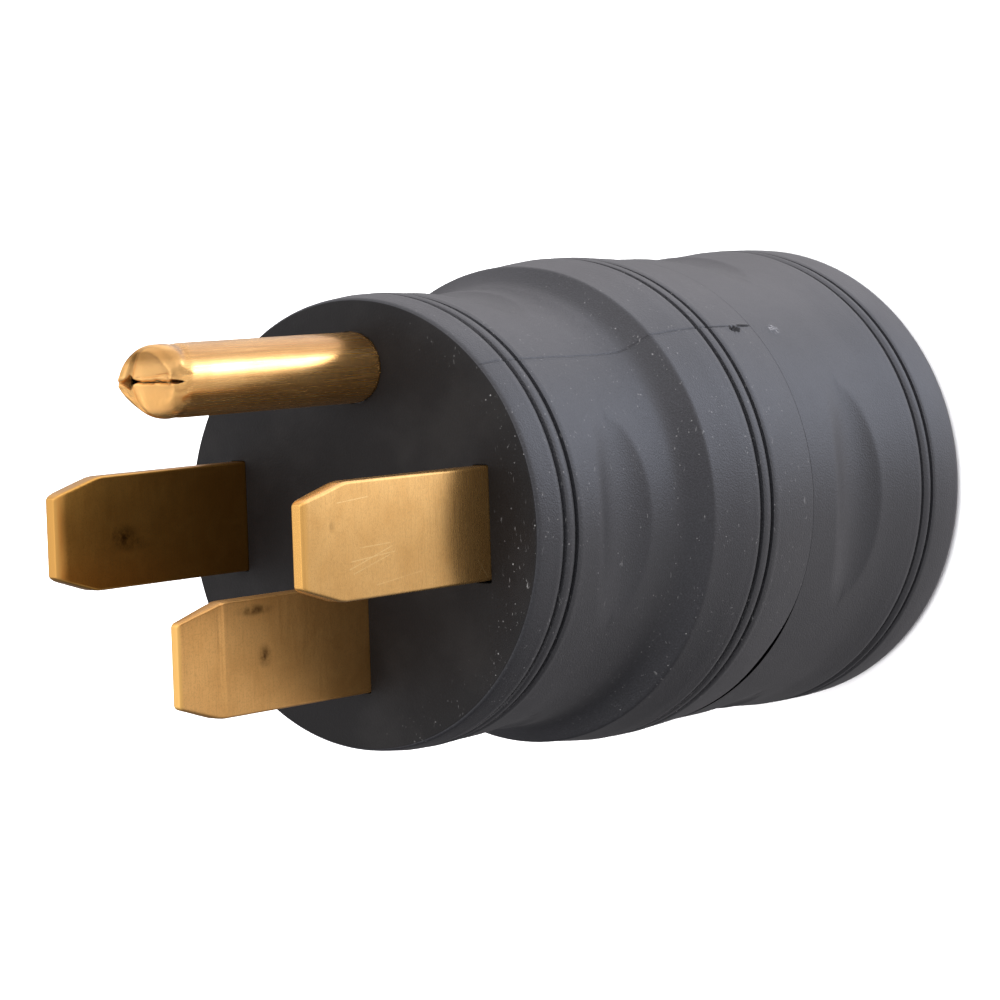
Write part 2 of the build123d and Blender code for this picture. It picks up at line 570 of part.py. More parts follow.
# ----------------------------------- cover plate over the contact chambers
with BuildPart() as contact_cover:
    with BuildSketch(Plane.XY.offset(CONTACT_TOP)):
        Circle(R_CAV_LOW - 0.1)
        with Locations(*HOUSE_CORNERS):
            Circle(BOSS_R + 0.15, mode=Mode.SUBTRACT)
        with PolarLocations(22.4, 2, start_angle=45):
            Rectangle(6.0, 5.2, mode=Mode.SUBTRACT)
        with Locations(*CLAMP_CORNERS):
            Circle(1.7, mode=Mode.SUBTRACT)
        with Locations(Location((SOCK_X, SOCK_Y, 0), (0, 0, 45)),
                       Location((-SOCK_X, SOCK_Y, 0), (0, 0, 135))):
            Rectangle(TAB_W + 0.4, TAB_T + 0.2, mode=Mode.SUBTRACT)
        with Locations((0, GND_Y)):
            Rectangle(6.6, TAB_T + 0.2, mode=Mode.SUBTRACT)
    extrude(amount=COVER_TOP - CONTACT_TOP)
contact_cover.part.label = "contact_cover"

# --------------------------------------------- pan-head screws of the cover
with BuildPart() as cover_screws:
    with BuildSketch(Plane.XY.offset(COVER_TOP)):
        with Locations(*CLAMP_CORNERS):
            Circle(2.9)
    extrude(amount=2.2)
    with BuildSketch(Plane.XY.offset(2.5)):
        with Locations(*CLAMP_CORNERS):
            Circle(1.45)
    extrude(amount=COVER_TOP - 2.5)
    with BuildSketch(Plane.XY.offset(COVER_TOP + 1.0)):
        with Locations(*CLAMP_CORNERS):
            Rectangle(3.4, 0.7)
            Rectangle(0.7, 3.4)
    extrude(amount=1.2, mode=Mode.SUBTRACT)
    chamfer(cover_screws.edges().group_by(Axis.Z)[0], 0.5)
cover_screws.part.label = "cover_screws"


def leaf_outline():
    """Section of a two-leaf contact: flared mouth, pinch, bridge at the top."""
    g, t = LEAF_GAP / 2, LEAF_T
    return [(g + 0.6, LOW_WALL_Z), (g + 0.6 + t, LOW_WALL_Z), (g + t - 0.25, LOW_WALL_Z + 4.0),
            (g + t, LOW_WALL_Z + 10.0), (g + t, CONTACT_TOP - 2.0), (0, CONTACT_TOP - 2.0),
            (0, CONTACT_TOP - 2.0 - t), (g, CONTACT_TOP - 2.0 - t), (g, LOW_WALL_Z + 10.0),
            (g - 0.25, LOW_WALL_Z + 4.0)]


# ------------------------------------------- two-leaf contact, feeding side
with BuildPart() as hot_contact:
    pl = Plane(origin=(SOCK_X, SOCK_Y, 0), x_dir=(sqrt(0.5), -sqrt(0.5), 0), z_dir=(sqrt(0.5), sqrt(0.5), 0))
    with BuildSketch(pl):
        Polygon(*[(x, -z) for x, z in leaf_outline()] if pl.y_dir.Z < 0 else leaf_outline(), align=None)
        Polygon(*[(-x, -z) for x, z in leaf_outline()] if pl.y_dir.Z < 0 else [(-x, z) for x, z in leaf_outline()], align=None)
    extrude(amount=5.0, both=True)
    with BuildSketch(Plane.XY.offset(CONTACT_TOP - 2.0)):
        with Locations(Location((SOCK_X, SOCK_Y, 0), (0, 0, 45))):
            Rectangle(11.0, 5.4)
    extrude(amount=2.0)
    with BuildSketch(Plane.XY.offset(CONTACT_TOP)):
        with Locations(Location((SOCK_X, SOCK_Y, 0), (0, 0, 45))):
            Rectangle(TAB_W, TAB_T)
    extrude(amount=41.0 - CONTACT_TOP)
    with Locations(along(SOCK_X, SOCK_Y, LOW_RIVET_Z, 1, -1)):
        Cylinder(RIVET_R + 0.03, 4, mode=Mode.SUBTRACT)
hot_contact.part.label = "hot_contact"

# ----------------------------------------- two-leaf contact, return side
with BuildPart() as neutral_contact:
    pl = Plane(origin=(-SOCK_X, SOCK_Y, 0), x_dir=(sqrt(0.5), sqrt(0.5), 0), z_dir=(-sqrt(0.5), sqrt(0.5), 0))
    with BuildSketch(pl):
        Polygon(*[(x, -z) for x, z in leaf_outline()] if pl.y_dir.Z < 0 else leaf_outline(), align=None)
        Polygon(*[(-x, -z) for x, z in leaf_outline()] if pl.y_dir.Z < 0 else [(-x, z) for x, z in leaf_outline()], align=None)
    extrude(amount=5.0, both=True)
    with BuildSketch(Plane.XY.offset(CONTACT_TOP - 2.0)):
        with Locations(Location((-SOCK_X, SOCK_Y, 0), (0, 0, 135))):
            Rectangle(11.0, 5.4)
    extrude(amount=2.0)
    with BuildSketch(Plane.XY.offset(CONTACT_TOP)):
        with Locations(Location((-SOCK_X, SOCK_Y, 0), (0, 0, 135))):
            Rectangle(TAB_W, TAB_T)
    extrude(amount=41.0 - CONTACT_TOP)
    with Locations(along(-SOCK_X, SOCK_Y, LOW_RIVET_Z, -1, -1)):
        Cylinder(RIVET_R + 0.03, 4, mode=Mode.SUBTRACT)
neutral_contact.part.label = "neutral_contact"

# ------------------------------------------------- slit ground sleeve
with BuildPart() as ground_contact:
    with BuildSketch(Plane.XY.offset(LOW_WALL_Z)):
        with Locations((0, GND_Y)):
            Circle(GND_BORE_R + 1.0)
            Circle(GND_BORE_R, mode=Mode.SUBTRACT)
            Rectangle(0.8, 12.0, mode=Mode.SUBTRACT)
    extrude(amount=CONTACT_TOP - 4.0 - LOW_WALL_Z)
    with BuildSketch(Plane.XY.offset(CONTACT_TOP - 4.0)):
        with Locations((0, GND_Y)):
            Circle(GND_BORE_R + 1.0)
            Circle(GND_BORE_R, mode=Mode.SUBTRACT)
    extrude(amount=2.0)
    with BuildSketch(Plane.XY.offset(CONTACT_TOP - 2.0)):
        with Locations((0, GND_Y)):
            Circle(5.2)
    extrude(amount=2.0)
    with BuildSketch(Plane.XY.offset(CONTACT_TOP)):
        with Locations((0, GND_Y)):
            Rectangle(6.2, TAB_T)
    extrude(amount=41.0 - CONTACT_TOP)
    with Locations(along(0, GND_Y, LOW_RIVET_Z, 0, 1)):
        Cylinder(RIVET_R + 0.03, 4, mode=Mode.SUBTRACT)
ground_contact.part.label = "ground_contact"

# --------------------------------- steel bands that pinch the two leaf pairs
BAND_IN = LEAF_GAP / 2 + LEAF_T + 0.02
with BuildPart() as hot_contact_spring:
    with BuildSketch(Plane.XY.offset(16.5)):
        with Locations(Location((SOCK_X, SOCK_Y, 0), (0, 0, 45))):
            Rectangle(11.2, 2 * BAND_IN + 1.0)
            Rectangle(10.2, 2 * BAND_IN, mode=Mode.SUBTRACT)
    extrude(amount=5.0)
hot_contact_spring.part.label = "hot_contact_spring"

with BuildPart() as neutral_contact_spring:
    with BuildSketch(Plane.XY.offset(16.5)):
        with Locations(Location((-SOCK_X, SOCK_Y, 0), (0, 0, 135))):
            Rectangle(11.2, 2 * BAND_IN + 1.0)
            Rectangle(10.2, 2 * BAND_IN, mode=Mode.SUBTRACT)
    extrude(amount=5.0)
neutral_contact_spring.part.label = "neutral_contact_spring"

# ------------------------------------------ steel ring round the sleeve
with BuildPart() as ground_contact_spring:
    with BuildSketch(Plane.XY.offset(9.0)):
        with Locations((0, GND_Y)):
            Circle(GND_BORE_R + 1.02 + 0.7)
            Circle(GND_BORE_R + 1.02, mode=Mode.SUBTRACT)
        with Locations((5.0, GND_Y)):
            Rectangle(4.0, 1.2, mode=Mode.SUBTRACT)
    extrude(amount=4.0)
ground_contact_spring.part.label = "ground_contact_spring"

# ------------------------- long screws that pull the two housings together
with BuildPart() as housing_screws:
    with BuildSketch(Plane.XY.offset(0.6)):
        with Locations(*HOUSE_CORNERS):
            Circle(3.1)
    extrude(amount=2.4)
    with BuildSketch(Plane.XY.offset(3.0)):
        with Locations(*HOUSE_CORNERS):
            Circle(1.75)
    extrude(amount=51.0)
    with BuildSketch(Plane.XY.offset(0.6)):
        with Locations(*HOUSE_CORNERS):
            Rectangle(4.0, 0.8)
            Rectangle(0.8, 4.0)
    extrude(amount=1.3, mode=Mode.SUBTRACT)
    chamfer(housing_screws.edges().group_by(Axis.Z)[-1], 0.6)
housing_screws.part.label = "housing_screws"

# ------------------------------------------------------------------ export
export_step(front_housing.part, "parts/front_housing.step")
export_step(rear_housing.part, "parts/rear_housing.step")
export_step(socket_insert.part, "parts/socket_insert.step")
export_step(blade_carrier.part, "parts/blade_carrier.step")
export_step(blade_clamp_plate.part, "parts/blade_clamp_plate.step")
export_step(clamp_screws.part, "parts/clamp_screws.step")
export_step(hot_blade.part, "parts/hot_blade.step")
export_step(idle_blade.part, "parts/idle_blade.step")
export_step(neutral_blade.part, "parts/neutral_blade.step")
export_step(ground_pin.part, "parts/ground_pin.step")
export_step(hot_strap.part, "parts/hot_strap.step")
export_step(neutral_strap.part, "parts/neutral_strap.step")
export_step(ground_strap.part, "parts/ground_strap.step")
export_step(blade_rivets.part, "parts/blade_rivets.step")
export_step(contact_rivets.part, "parts/contact_rivets.step")
export_step(strap_barrier.part, "parts/strap_barrier.step")
export_step(contact_carrier.part, "parts/contact_carrier.step")
export_step(contact_cover.part, "parts/contact_cover.step")
export_step(cover_screws.part, "parts/cover_screws.step")
export_step(hot_contact.part, "parts/hot_contact.step")
export_step(neutral_contact.part, "parts/neutral_contact.step")
export_step(ground_contact.part, "parts/ground_contact.step")
export_step(hot_contact_spring.part, "parts/hot_contact_spring.step")
export_step(neutral_contact_spring.part, "parts/neutral_contact_spring.step")
export_step(ground_contact_spring.part, "parts/ground_contact_spring.step")
export_step(housing_screws.part, "parts/housing_screws.step")
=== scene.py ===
import math
import bpy
import numpy as np
from mathutils import Vector, Matrix
from mathutils.geometry import delaunay_2d_cdt


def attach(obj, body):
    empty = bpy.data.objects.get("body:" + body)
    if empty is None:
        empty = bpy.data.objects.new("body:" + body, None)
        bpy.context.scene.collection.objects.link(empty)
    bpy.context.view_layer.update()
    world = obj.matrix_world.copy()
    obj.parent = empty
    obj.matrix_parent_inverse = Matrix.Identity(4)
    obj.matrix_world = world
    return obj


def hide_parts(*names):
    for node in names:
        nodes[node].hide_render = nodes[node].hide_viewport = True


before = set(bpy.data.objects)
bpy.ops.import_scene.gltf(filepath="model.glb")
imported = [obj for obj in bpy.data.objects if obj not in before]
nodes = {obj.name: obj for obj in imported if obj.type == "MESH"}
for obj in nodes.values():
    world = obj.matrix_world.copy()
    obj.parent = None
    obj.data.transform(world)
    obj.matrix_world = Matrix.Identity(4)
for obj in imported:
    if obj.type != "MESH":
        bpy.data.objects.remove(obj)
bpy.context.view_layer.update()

MM = 0.001

# ------------------------------------------------------------------ sizes, mm
H = 79.0
SEAM_Z = 31.8
R_FACE = 23.97
HOT_X, HOT_Y, NEU_Y = 17.0, 0.63, -12.03
PIN_Y, PIN_R, PIN_L = 16.95, 3.81, 32.2
BLADE_TOP = H + 29.3
BLADE_W, BLADE_T = 12.07, 2.0
CORNER = 13.15
D_AXIS, D_TUBE, D_DEPTH = 10.4, 12.5, 0.8


# ---------------------------------------------------------------- mesh tools
def make(name, verts, faces, mat, sharp=38.0):
    me = bpy.data.meshes.new(name)
    me.from_pydata([tuple(v) for v in (np.asarray(verts, float) * MM)], [], faces)
    me.validate()
    me.update()
    me.shade_smooth()
    me.set_sharp_from_angle(angle=math.radians(sharp))
    ob = bpy.data.objects.new(name, me)
    bpy.context.scene.collection.objects.link(ob)
    me.materials.append(mat)
    return ob


def hermite(pts, n):
    """Smooth curve through (r, z) points, n samples a span, with soft tangents."""
    p = np.asarray(pts, float)
    d = np.linalg.norm(np.diff(p, axis=0), axis=1)
    t = np.concatenate([[0], np.cumsum(d)])
    m = np.zeros_like(p)
    m[1:-1] = (p[2:] - p[:-2]) / (t[2:] - t[:-2])[:, None]
    m[0] = (p[1] - p[0]) / (t[1] - t[0])
    m[-1] = (p[-1] - p[-2]) / (t[-1] - t[-2])
    out = []
    for i in range(len(p) - 1):
        h = t[i + 1] - t[i]
        for u in np.linspace(0, 1, n, endpoint=False):
            a = 2 * u**3 - 3 * u**2 + 1
            b = u**3 - 2 * u**2 + u
            c = -2 * u**3 + 3 * u**2
            e = u**3 - u**2
            out.append(a * p[i] + b * h * m[i] + c * p[i + 1] + e * h * m[i + 1])
    out.append(p[-1])
    return np.array(out)


def smooth01(x):
    x = np.clip(x, 0, 1)
    return x * x * (3 - 2 * x)


def hash_noise(x, y, seed=0):
    """Repeatable value noise on a plane, -1 to 1."""
    xi, yi = np.floor(x), np.floor(y)
    xf, yf = x - xi, y - yi

    def h(a, b):
        v = np.sin(a * 127.1 + b * 311.7 + seed * 74.7) * 43758.5453
        return 2 * (v - np.floor(v)) - 1

    u, v = xf * xf * (3 - 2 * xf), yf * yf * (3 - 2 * yf)
    return ((h(xi, yi) * (1 - u) + h(xi + 1, yi) * u) * (1 - v)
            + (h(xi, yi + 1) * (1 - u) + h(xi + 1, yi + 1) * u) * v)


# angles round the axis, measured from +Y toward +X, with extra samples at the
# two mould lines
_base = np.arange(0, 360, 1.0)
_fine = np.concatenate([c + np.array([-1.3, -0.9, -0.6, -0.42, -0.3, -0.2, -0.1, 0, 0.1, 0.2, 0.3, 0.42, 0.6, 0.9, 1.3,
                                      1.7, 2.1, 2.5]) for c in (45.0, 225.0)])
THETA = np.array(sorted(set(np.round(np.concatenate([
    _base[(np.abs(_base - 45) > 1.6) & (np.abs(_base - 225) > 1.6)], _fine]), 3))))
TH = np.radians(THETA)
NT = len(TH)


def groove_cut(z, centre, half, depth):
    u = np.abs(z - centre) / half
    return np.where(u < 1, depth * np.sqrt(np.clip(1 - u * u, 0, 1)), 0.0) + 0.16 * np.exp(-((z - centre) / 0.46)**2)


def dimple_limit(z, z0, radius):
    """Outer limit of the body where a finger dimple hollows it, by angle."""
    big = radius - D_DEPTH + D_AXIS + D_TUBE
    dz = np.clip(np.abs(z - z0), 0, D_TUBE - 0.01)
    rho = big - np.sqrt(D_TUBE**2 - dz**2)
    best = np.full(NT, 1e3)
    for a in (0.0, math.pi / 2, math.pi, 3 * math.pi / 2):
        phi = TH - a
        s = rho**2 - (D_AXIS * np.sin(phi))**2
        lim = -D_AXIS * np.cos(phi) + np.sqrt(np.clip(s, 0, None))
        lim = np.where(np.cos(phi) > 0.3, lim, 1e3)
        best = np.minimum(best, lim)
    return best


def soft_min(a, b, k):
    h = np.clip(0.5 + 0.5 * (b - a) / k, 0, 1)
    return b * (1 - h) + a * h - k * h * (1 - h)


def body_rows(prof, dimple, front):
    """Rings of points for a profile of (r, z, kind) rows."""
    rows = []
    for r, z in prof:
        rr = np.full(NT, r, float)
        zz = np.full(NT, z, float)
        if dimple and abs(z - dimple[0]) < 9.0:
            soft = 0.045 if z < dimple[0] else 0.30
            rr = soft_min(rr, dimple_limit(z, dimple[0], dimple[1]), soft)
        if r > 23.9:
            # a very slight unevenness of the moulding
            rr = rr + 0.003 * hash_noise(TH * 5.0, np.full(NT, z * 0.16), 3 if front else 7)
        if front and 24.0 < r and SEAM_Z + 0.2 < z < 78.9:
            # mould line: a hair-fine raised lip with a crease beside it
            for c in (45.0, 225.0):
                wob = 0.12 * math.sin(z * 0.35) + 0.05 * math.sin(z * 1.3)
                d = (THETA - c - wob) * math.pi / 180 * r
                deep = 0.095 + 0.07 * math.exp(-((z - 38.5) / 4.0)**2)
                rr = rr + 0.035 * np.exp(-((d - 0.16) / 0.12)**2) - deep * np.exp(-(d / 0.11)**2)
            if 32.2 < z < 34.5:
                # short tear between the vent and the seam
                d = (THETA - 44.7) * math.pi / 180 * r
                rr = rr - 0.14 * np.exp(-(d / 0.10)**2) + 0.07 * np.exp(-((d + 0.19) / 0.09)**2)
        if front and 33.5 < z < 38.2:
            # torn vent mark on the mould line
            d = (THETA - 45.9) * math.pi / 180 * r
            e = ((z - 35.6) / 0.95)**2 + (d / (0.36 + 0.1 * math.sin(z * 7)))**2
            rr = rr - 0.55 * np.exp(-e**1.6) + 0.10 * np.exp(-((np.sqrt(e) - 1.35) / 0.3)**2)
        if not front and 26.0 < z < 30.5:
            # scabbed spot left by the gate
            d = (THETA - 46.3) * math.pi / 180 * r
            e = ((z - 27.8) / 1.15)**2 + (d / 0.85)**2
            rr = rr + 0.09 * np.exp(-e**2) * (0.6 + 0.8 * hash_noise(d * 6, np.full(NT, z * 6), 5))
        rows.append((np.minimum(rr, 27.735), zz))
    return rows


def rings_to_mesh(rows):
    verts, faces = [], []
    for rr, zz in rows:
        verts.append(np.stack([rr * np.sin(TH), rr * np.cos(TH), zz], 1))
    n = len(rows)
    for i in range(n - 1):
        a, b = i * NT, (i + 1) * NT
        for j in range(NT):
            k = (j + 1) % NT
            faces.append((a + j, b + j, b + k, a + k))
    return np.concatenate(verts), faces


def rect(cx, cy, w, h, deg=0.0, rad=0.3):
    """Corner points of a slot with small rounded corners, anticlockwise."""
    out = []
    for sx, sy, a0 in ((1, -1, -90), (1, 1, 0), (-1, 1, 90), (-1, -1, 180)):
        for a in (0, 30, 60, 90):
            t = math.radians(a0 + a)
            out.append((sx * (w / 2 - rad) + rad * math.cos(t), sy * (h / 2 - rad) + rad * math.sin(t)))
    c, s = math.cos(math.radians(deg)), math.sin(math.radians(deg))
    return [(cx + x * c - y * s, cy + x * s + y * c) for x, y in out]


def circle(cx, cy, r, n=64):
    return [(cx + r * math.cos(2 * math.pi * i / n), cy + r * math.sin(2 * math.pi * i / n)) for i in range(n)]


def inside(poly, x, y):
    n, res, j = len(poly), False, len(poly) - 1
    for i in range(n):
        xi, yi = poly[i]
        xj, yj = poly[j]
        if (yi > y) != (yj > y) and x < (xj - xi) * (y - yi) / (yj - yi) + xi:
            res = not res
        j = i
    return res


def cap(verts, faces, ring_ids, z, holes, depth, up):
    """Closes a ring with a flat face that has holes, each with walls depth deep."""
    verts = [tuple(v) for v in verts]
    outer = [(verts[i][0], verts[i][1]) for i in ring_ids]
    pts, ids, edges = list(outer), list(ring_ids), []
    n = len(outer)
    edges += [(i, (i + 1) % n) for i in range(n)]
    for hole in holes:
        s = len(pts)
        for x, y in hole["pts"]:
            ids.append(len(verts))
            verts.append((x, y, z))
            pts.append((x, y))
        m = len(hole["pts"])
        edges += [(s + i, s + (i + 1) % m) for i in range(m)]
    # a loose grid of extra points keeps the triangles from becoming slivers
    rmax = max(math.hypot(*p) for p in outer)
    step = 2.6
    g = np.arange(-rmax, rmax + step, step)
    for i, x in enumerate(g):
        for y in g + (step / 2 if i % 2 else 0):
            if math.hypot(x, y) > rmax - 1.1:
                continue
            if any(min(math.hypot(x - a, y - b) for a, b in h["pts"]) < 1.0 or inside(h["pts"], x, y) for h in holes):
                continue
            ids.append(len(verts))
            verts.append((float(x), float(y), z))
            pts.append((float(x), float(y)))
    res = delaunay_2d_cdt([Vector(p) for p in pts], edges, [], 0, 1e-7)
    rv, rf, orig = res[0], res[2], res[3]
    for f in rf:
        cx = sum(rv[i][0] for i in f) / len(f)
        cy = sum(rv[i][1] for i in f) / len(f)
        if any(inside(h["pts"], cx, cy) for h in holes):
            continue
        if math.hypot(cx, cy) > rmax:
            continue
        q = [ids[orig[i][0]] for i in f]
        ax, ay = verts[q[0]][:2]
        bx, by = verts[q[1]][:2]
        dx, dy = verts[q[2]][:2]
        if ((bx - ax) * (dy - ay) - (by - ay) * (dx - ax) > 0) != up:
            q = q[::-1]
        faces.append(tuple(q))
    k = n
    for hole in holes:
        m = len(hole["pts"])
        top = [ids[k + i] for i in range(m)]
        k += m
        dz = -hole.get("depth", depth) if up else hole.get("depth", depth)
        low = []
        for x, y in hole["pts"]:
            low.append(len(verts))
            verts.append((x, y, z + dz))
        for i in range(m):
            j = (i + 1) % m
            q = (top[i], top[j], low[j], low[i]) if not up else (top[i], low[i], low[j], top[j])
            faces.append(q)
        if "floor" in hole:
            c, rr = hole["floor"]
            inner = []
            for i in range(m):
                a = 2 * math.pi * i / m
                inner.append(len(verts))
                verts.append((c[0] + rr * math.cos(a), c[1] + rr * math.sin(a), z + dz))
            for i in range(m):
                j = (i + 1) % m
                q = (low[i], low[j], inner[j], inner[i])
                faces.append(q if not up else q[::-1])
    return verts, faces


# ------------------------------------------------------------ node materials
def mat_new(name):
    m = bpy.data.materials.new(name)
    m.use_nodes = True
    nt = m.node_tree
    bsdf = nt.nodes["Principled BSDF"]
    return m, nt, bsdf


class G:
    """Short hand for building a node tree."""

    def __init__(self, nt):
        self.nt = nt
        self.co = nt.nodes.new("ShaderNodeTexCoord").outputs["Object"]

    def n(self, kind, **kw):
        x = self.nt.nodes.new(kind)
        for k, v in kw.items():
            setattr(x, k, v)
        return x

    def link(self, a, b):
        self.nt.links.new(a, b)

    def val(self, sock, v):
        if hasattr(v, "is_output"):
            self.link(v, sock)
        else:
            sock.default_value = v

    def mapped(self, scale, loc=(0, 0, 0), rot=(0, 0, 0)):
        m = self.n("ShaderNodeMapping")
        self.link(self.co, m.inputs["Vector"])
        m.inputs["Scale"].default_value = scale
        m.inputs["Location"].default_value = loc
        m.inputs["Rotation"].default_value = rot
        return m.outputs["Vector"]

    def noise(self, vec, scale, detail=3.0, rough=0.55, dist=0.0):
        x = self.n("ShaderNodeTexNoise")
        self.link(vec, x.inputs["Vector"])
        x.inputs["Scale"].default_value = scale
        x.inputs["Detail"].default_value = detail
        x.inputs["Roughness"].default_value = rough
        x.inputs["Distortion"].default_value = dist
        return x.outputs["Fac"]

    def voronoi(self, vec, scale, feature="F1", out="Distance", rand=1.0):
        x = self.n("ShaderNodeTexVoronoi", feature=feature)
        self.link(vec, x.inputs["Vector"])
        x.inputs["Scale"].default_value = scale
        x.inputs["Randomness"].default_value = rand
        return x.outputs[out]

    def specks(self, scale, radius, share, loc=(0, 0, 0)):
        """Small round spots: one in some of the cells of a grid."""
        x = self.n("ShaderNodeTexVoronoi", feature="F1")
        self.link(self.mapped((1, 1, 1), loc), x.inputs["Vector"])
        x.inputs["Scale"].default_value = scale
        s = self.n("ShaderNodeSeparateColor")
        self.link(x.outputs["Color"], s.inputs[0])
        size = self.rng(s.outputs[1], 0.0, 1.0, radius * 0.45, radius * 1.3, False)
        d = self.math("DIVIDE", x.outputs["Distance"], size)
        return self.math("MULTIPLY", self.rng(d, 1.0, 0.6), self.math("GREATER_THAN", s.outputs[0], 1.0 - share))

    def segment(self, a, b, half):
        """1 along a straight scratch between two (y, z) points, in mm."""
        ax, bx = Vector((0, a[0], a[1])) * MM, Vector((0, b[0], b[1])) * MM
        flat = self.n("ShaderNodeVectorMath", operation="MULTIPLY")
        self.link(self.co, flat.inputs[0])
        flat.inputs[1].default_value = (0, 1, 1)
        rel = self.n("ShaderNodeVectorMath", operation="SUBTRACT")
        self.link(flat.outputs[0], rel.inputs[0])
        rel.inputs[1].default_value = ax
        dot = self.n("ShaderNodeVectorMath", operation="DOT_PRODUCT")
        self.link(rel.outputs[0], dot.inputs[0])
        dot.inputs[1].default_value = (bx - ax) / (bx - ax).length_squared
        t = self.rng(dot.outputs["Value"], 0.0, 1.0, 0.0, 1.0, False)
        sc = self.n("ShaderNodeVectorMath", operation="SCALE")
        sc.inputs[0].default_value = bx - ax
        self.link(t, sc.inputs["Scale"])
        off = self.n("ShaderNodeVectorMath", operation="DISTANCE")
        self.link(rel.outputs[0], off.inputs[0])
        self.link(sc.outputs[0], off.inputs[1])
        return self.rng(off.outputs["Value"], half * MM, half * MM * 0.35)

    def rng(self, v, a, b, c=0.0, d=1.0, smooth=True):
        x = self.n("ShaderNodeMapRange")
        x.interpolation_type = "SMOOTHSTEP" if smooth else "LINEAR"
        self.val(x.inputs["Value"], v)
        x.inputs["From Min"].default_value = a
        x.inputs["From Max"].default_value = b
        x.inputs["To Min"].default_value = c
        x.inputs["To Max"].default_value = d
        return x.outputs["Result"]

    def math(self, op, a, b=0.0):
        x = self.n("ShaderNodeMath", operation=op)
        self.val(x.inputs[0], a)
        self.val(x.inputs[1], b)
        return x.outputs[0]

    def mix(self, fac, a, b):
        x = self.n("ShaderNodeMix", data_type="RGBA")
        self.val(x.inputs["Factor"], fac)
        for s, v in ((x.inputs[6], a), (x.inputs[7], b)):
            if hasattr(v, "is_output"):
                self.link(v, s)
            else:
                s.default_value = (*v, 1.0)
        return x.outputs[2]

    def sep(self, vec=None):
        x = self.n("ShaderNodeSeparateXYZ")
        self.link(vec or self.co, x.inputs[0])
        return x.outputs

    def bump(self, height, strength, dist, normal=None):
        x = self.n("ShaderNodeBump")
        x.inputs["Strength"].default_value = strength
        x.inputs["Distance"].default_value = dist
        self.link(height, x.inputs["Height"])
        if normal is not None:
            self.link(normal, x.inputs["Normal"])
        return x.outputs["Normal"]

    def blob(self, centre, radii):
        """1 at a point, falling to 0 at the given radii, in metres."""
        m = self.n("ShaderNodeMapping")
        self.link(self.co, m.inputs["Vector"])
        m.inputs["Location"].default_value = tuple(-c / r for c, r in zip(centre, radii))
        m.inputs["Scale"].default_value = tuple(1 / r for r in radii)
        v = self.n("ShaderNodeVectorMath", operation="LENGTH")
        self.link(m.outputs["Vector"], v.inputs[0])
        return self.rng(v.outputs["Value"], 1.0, 0.0)


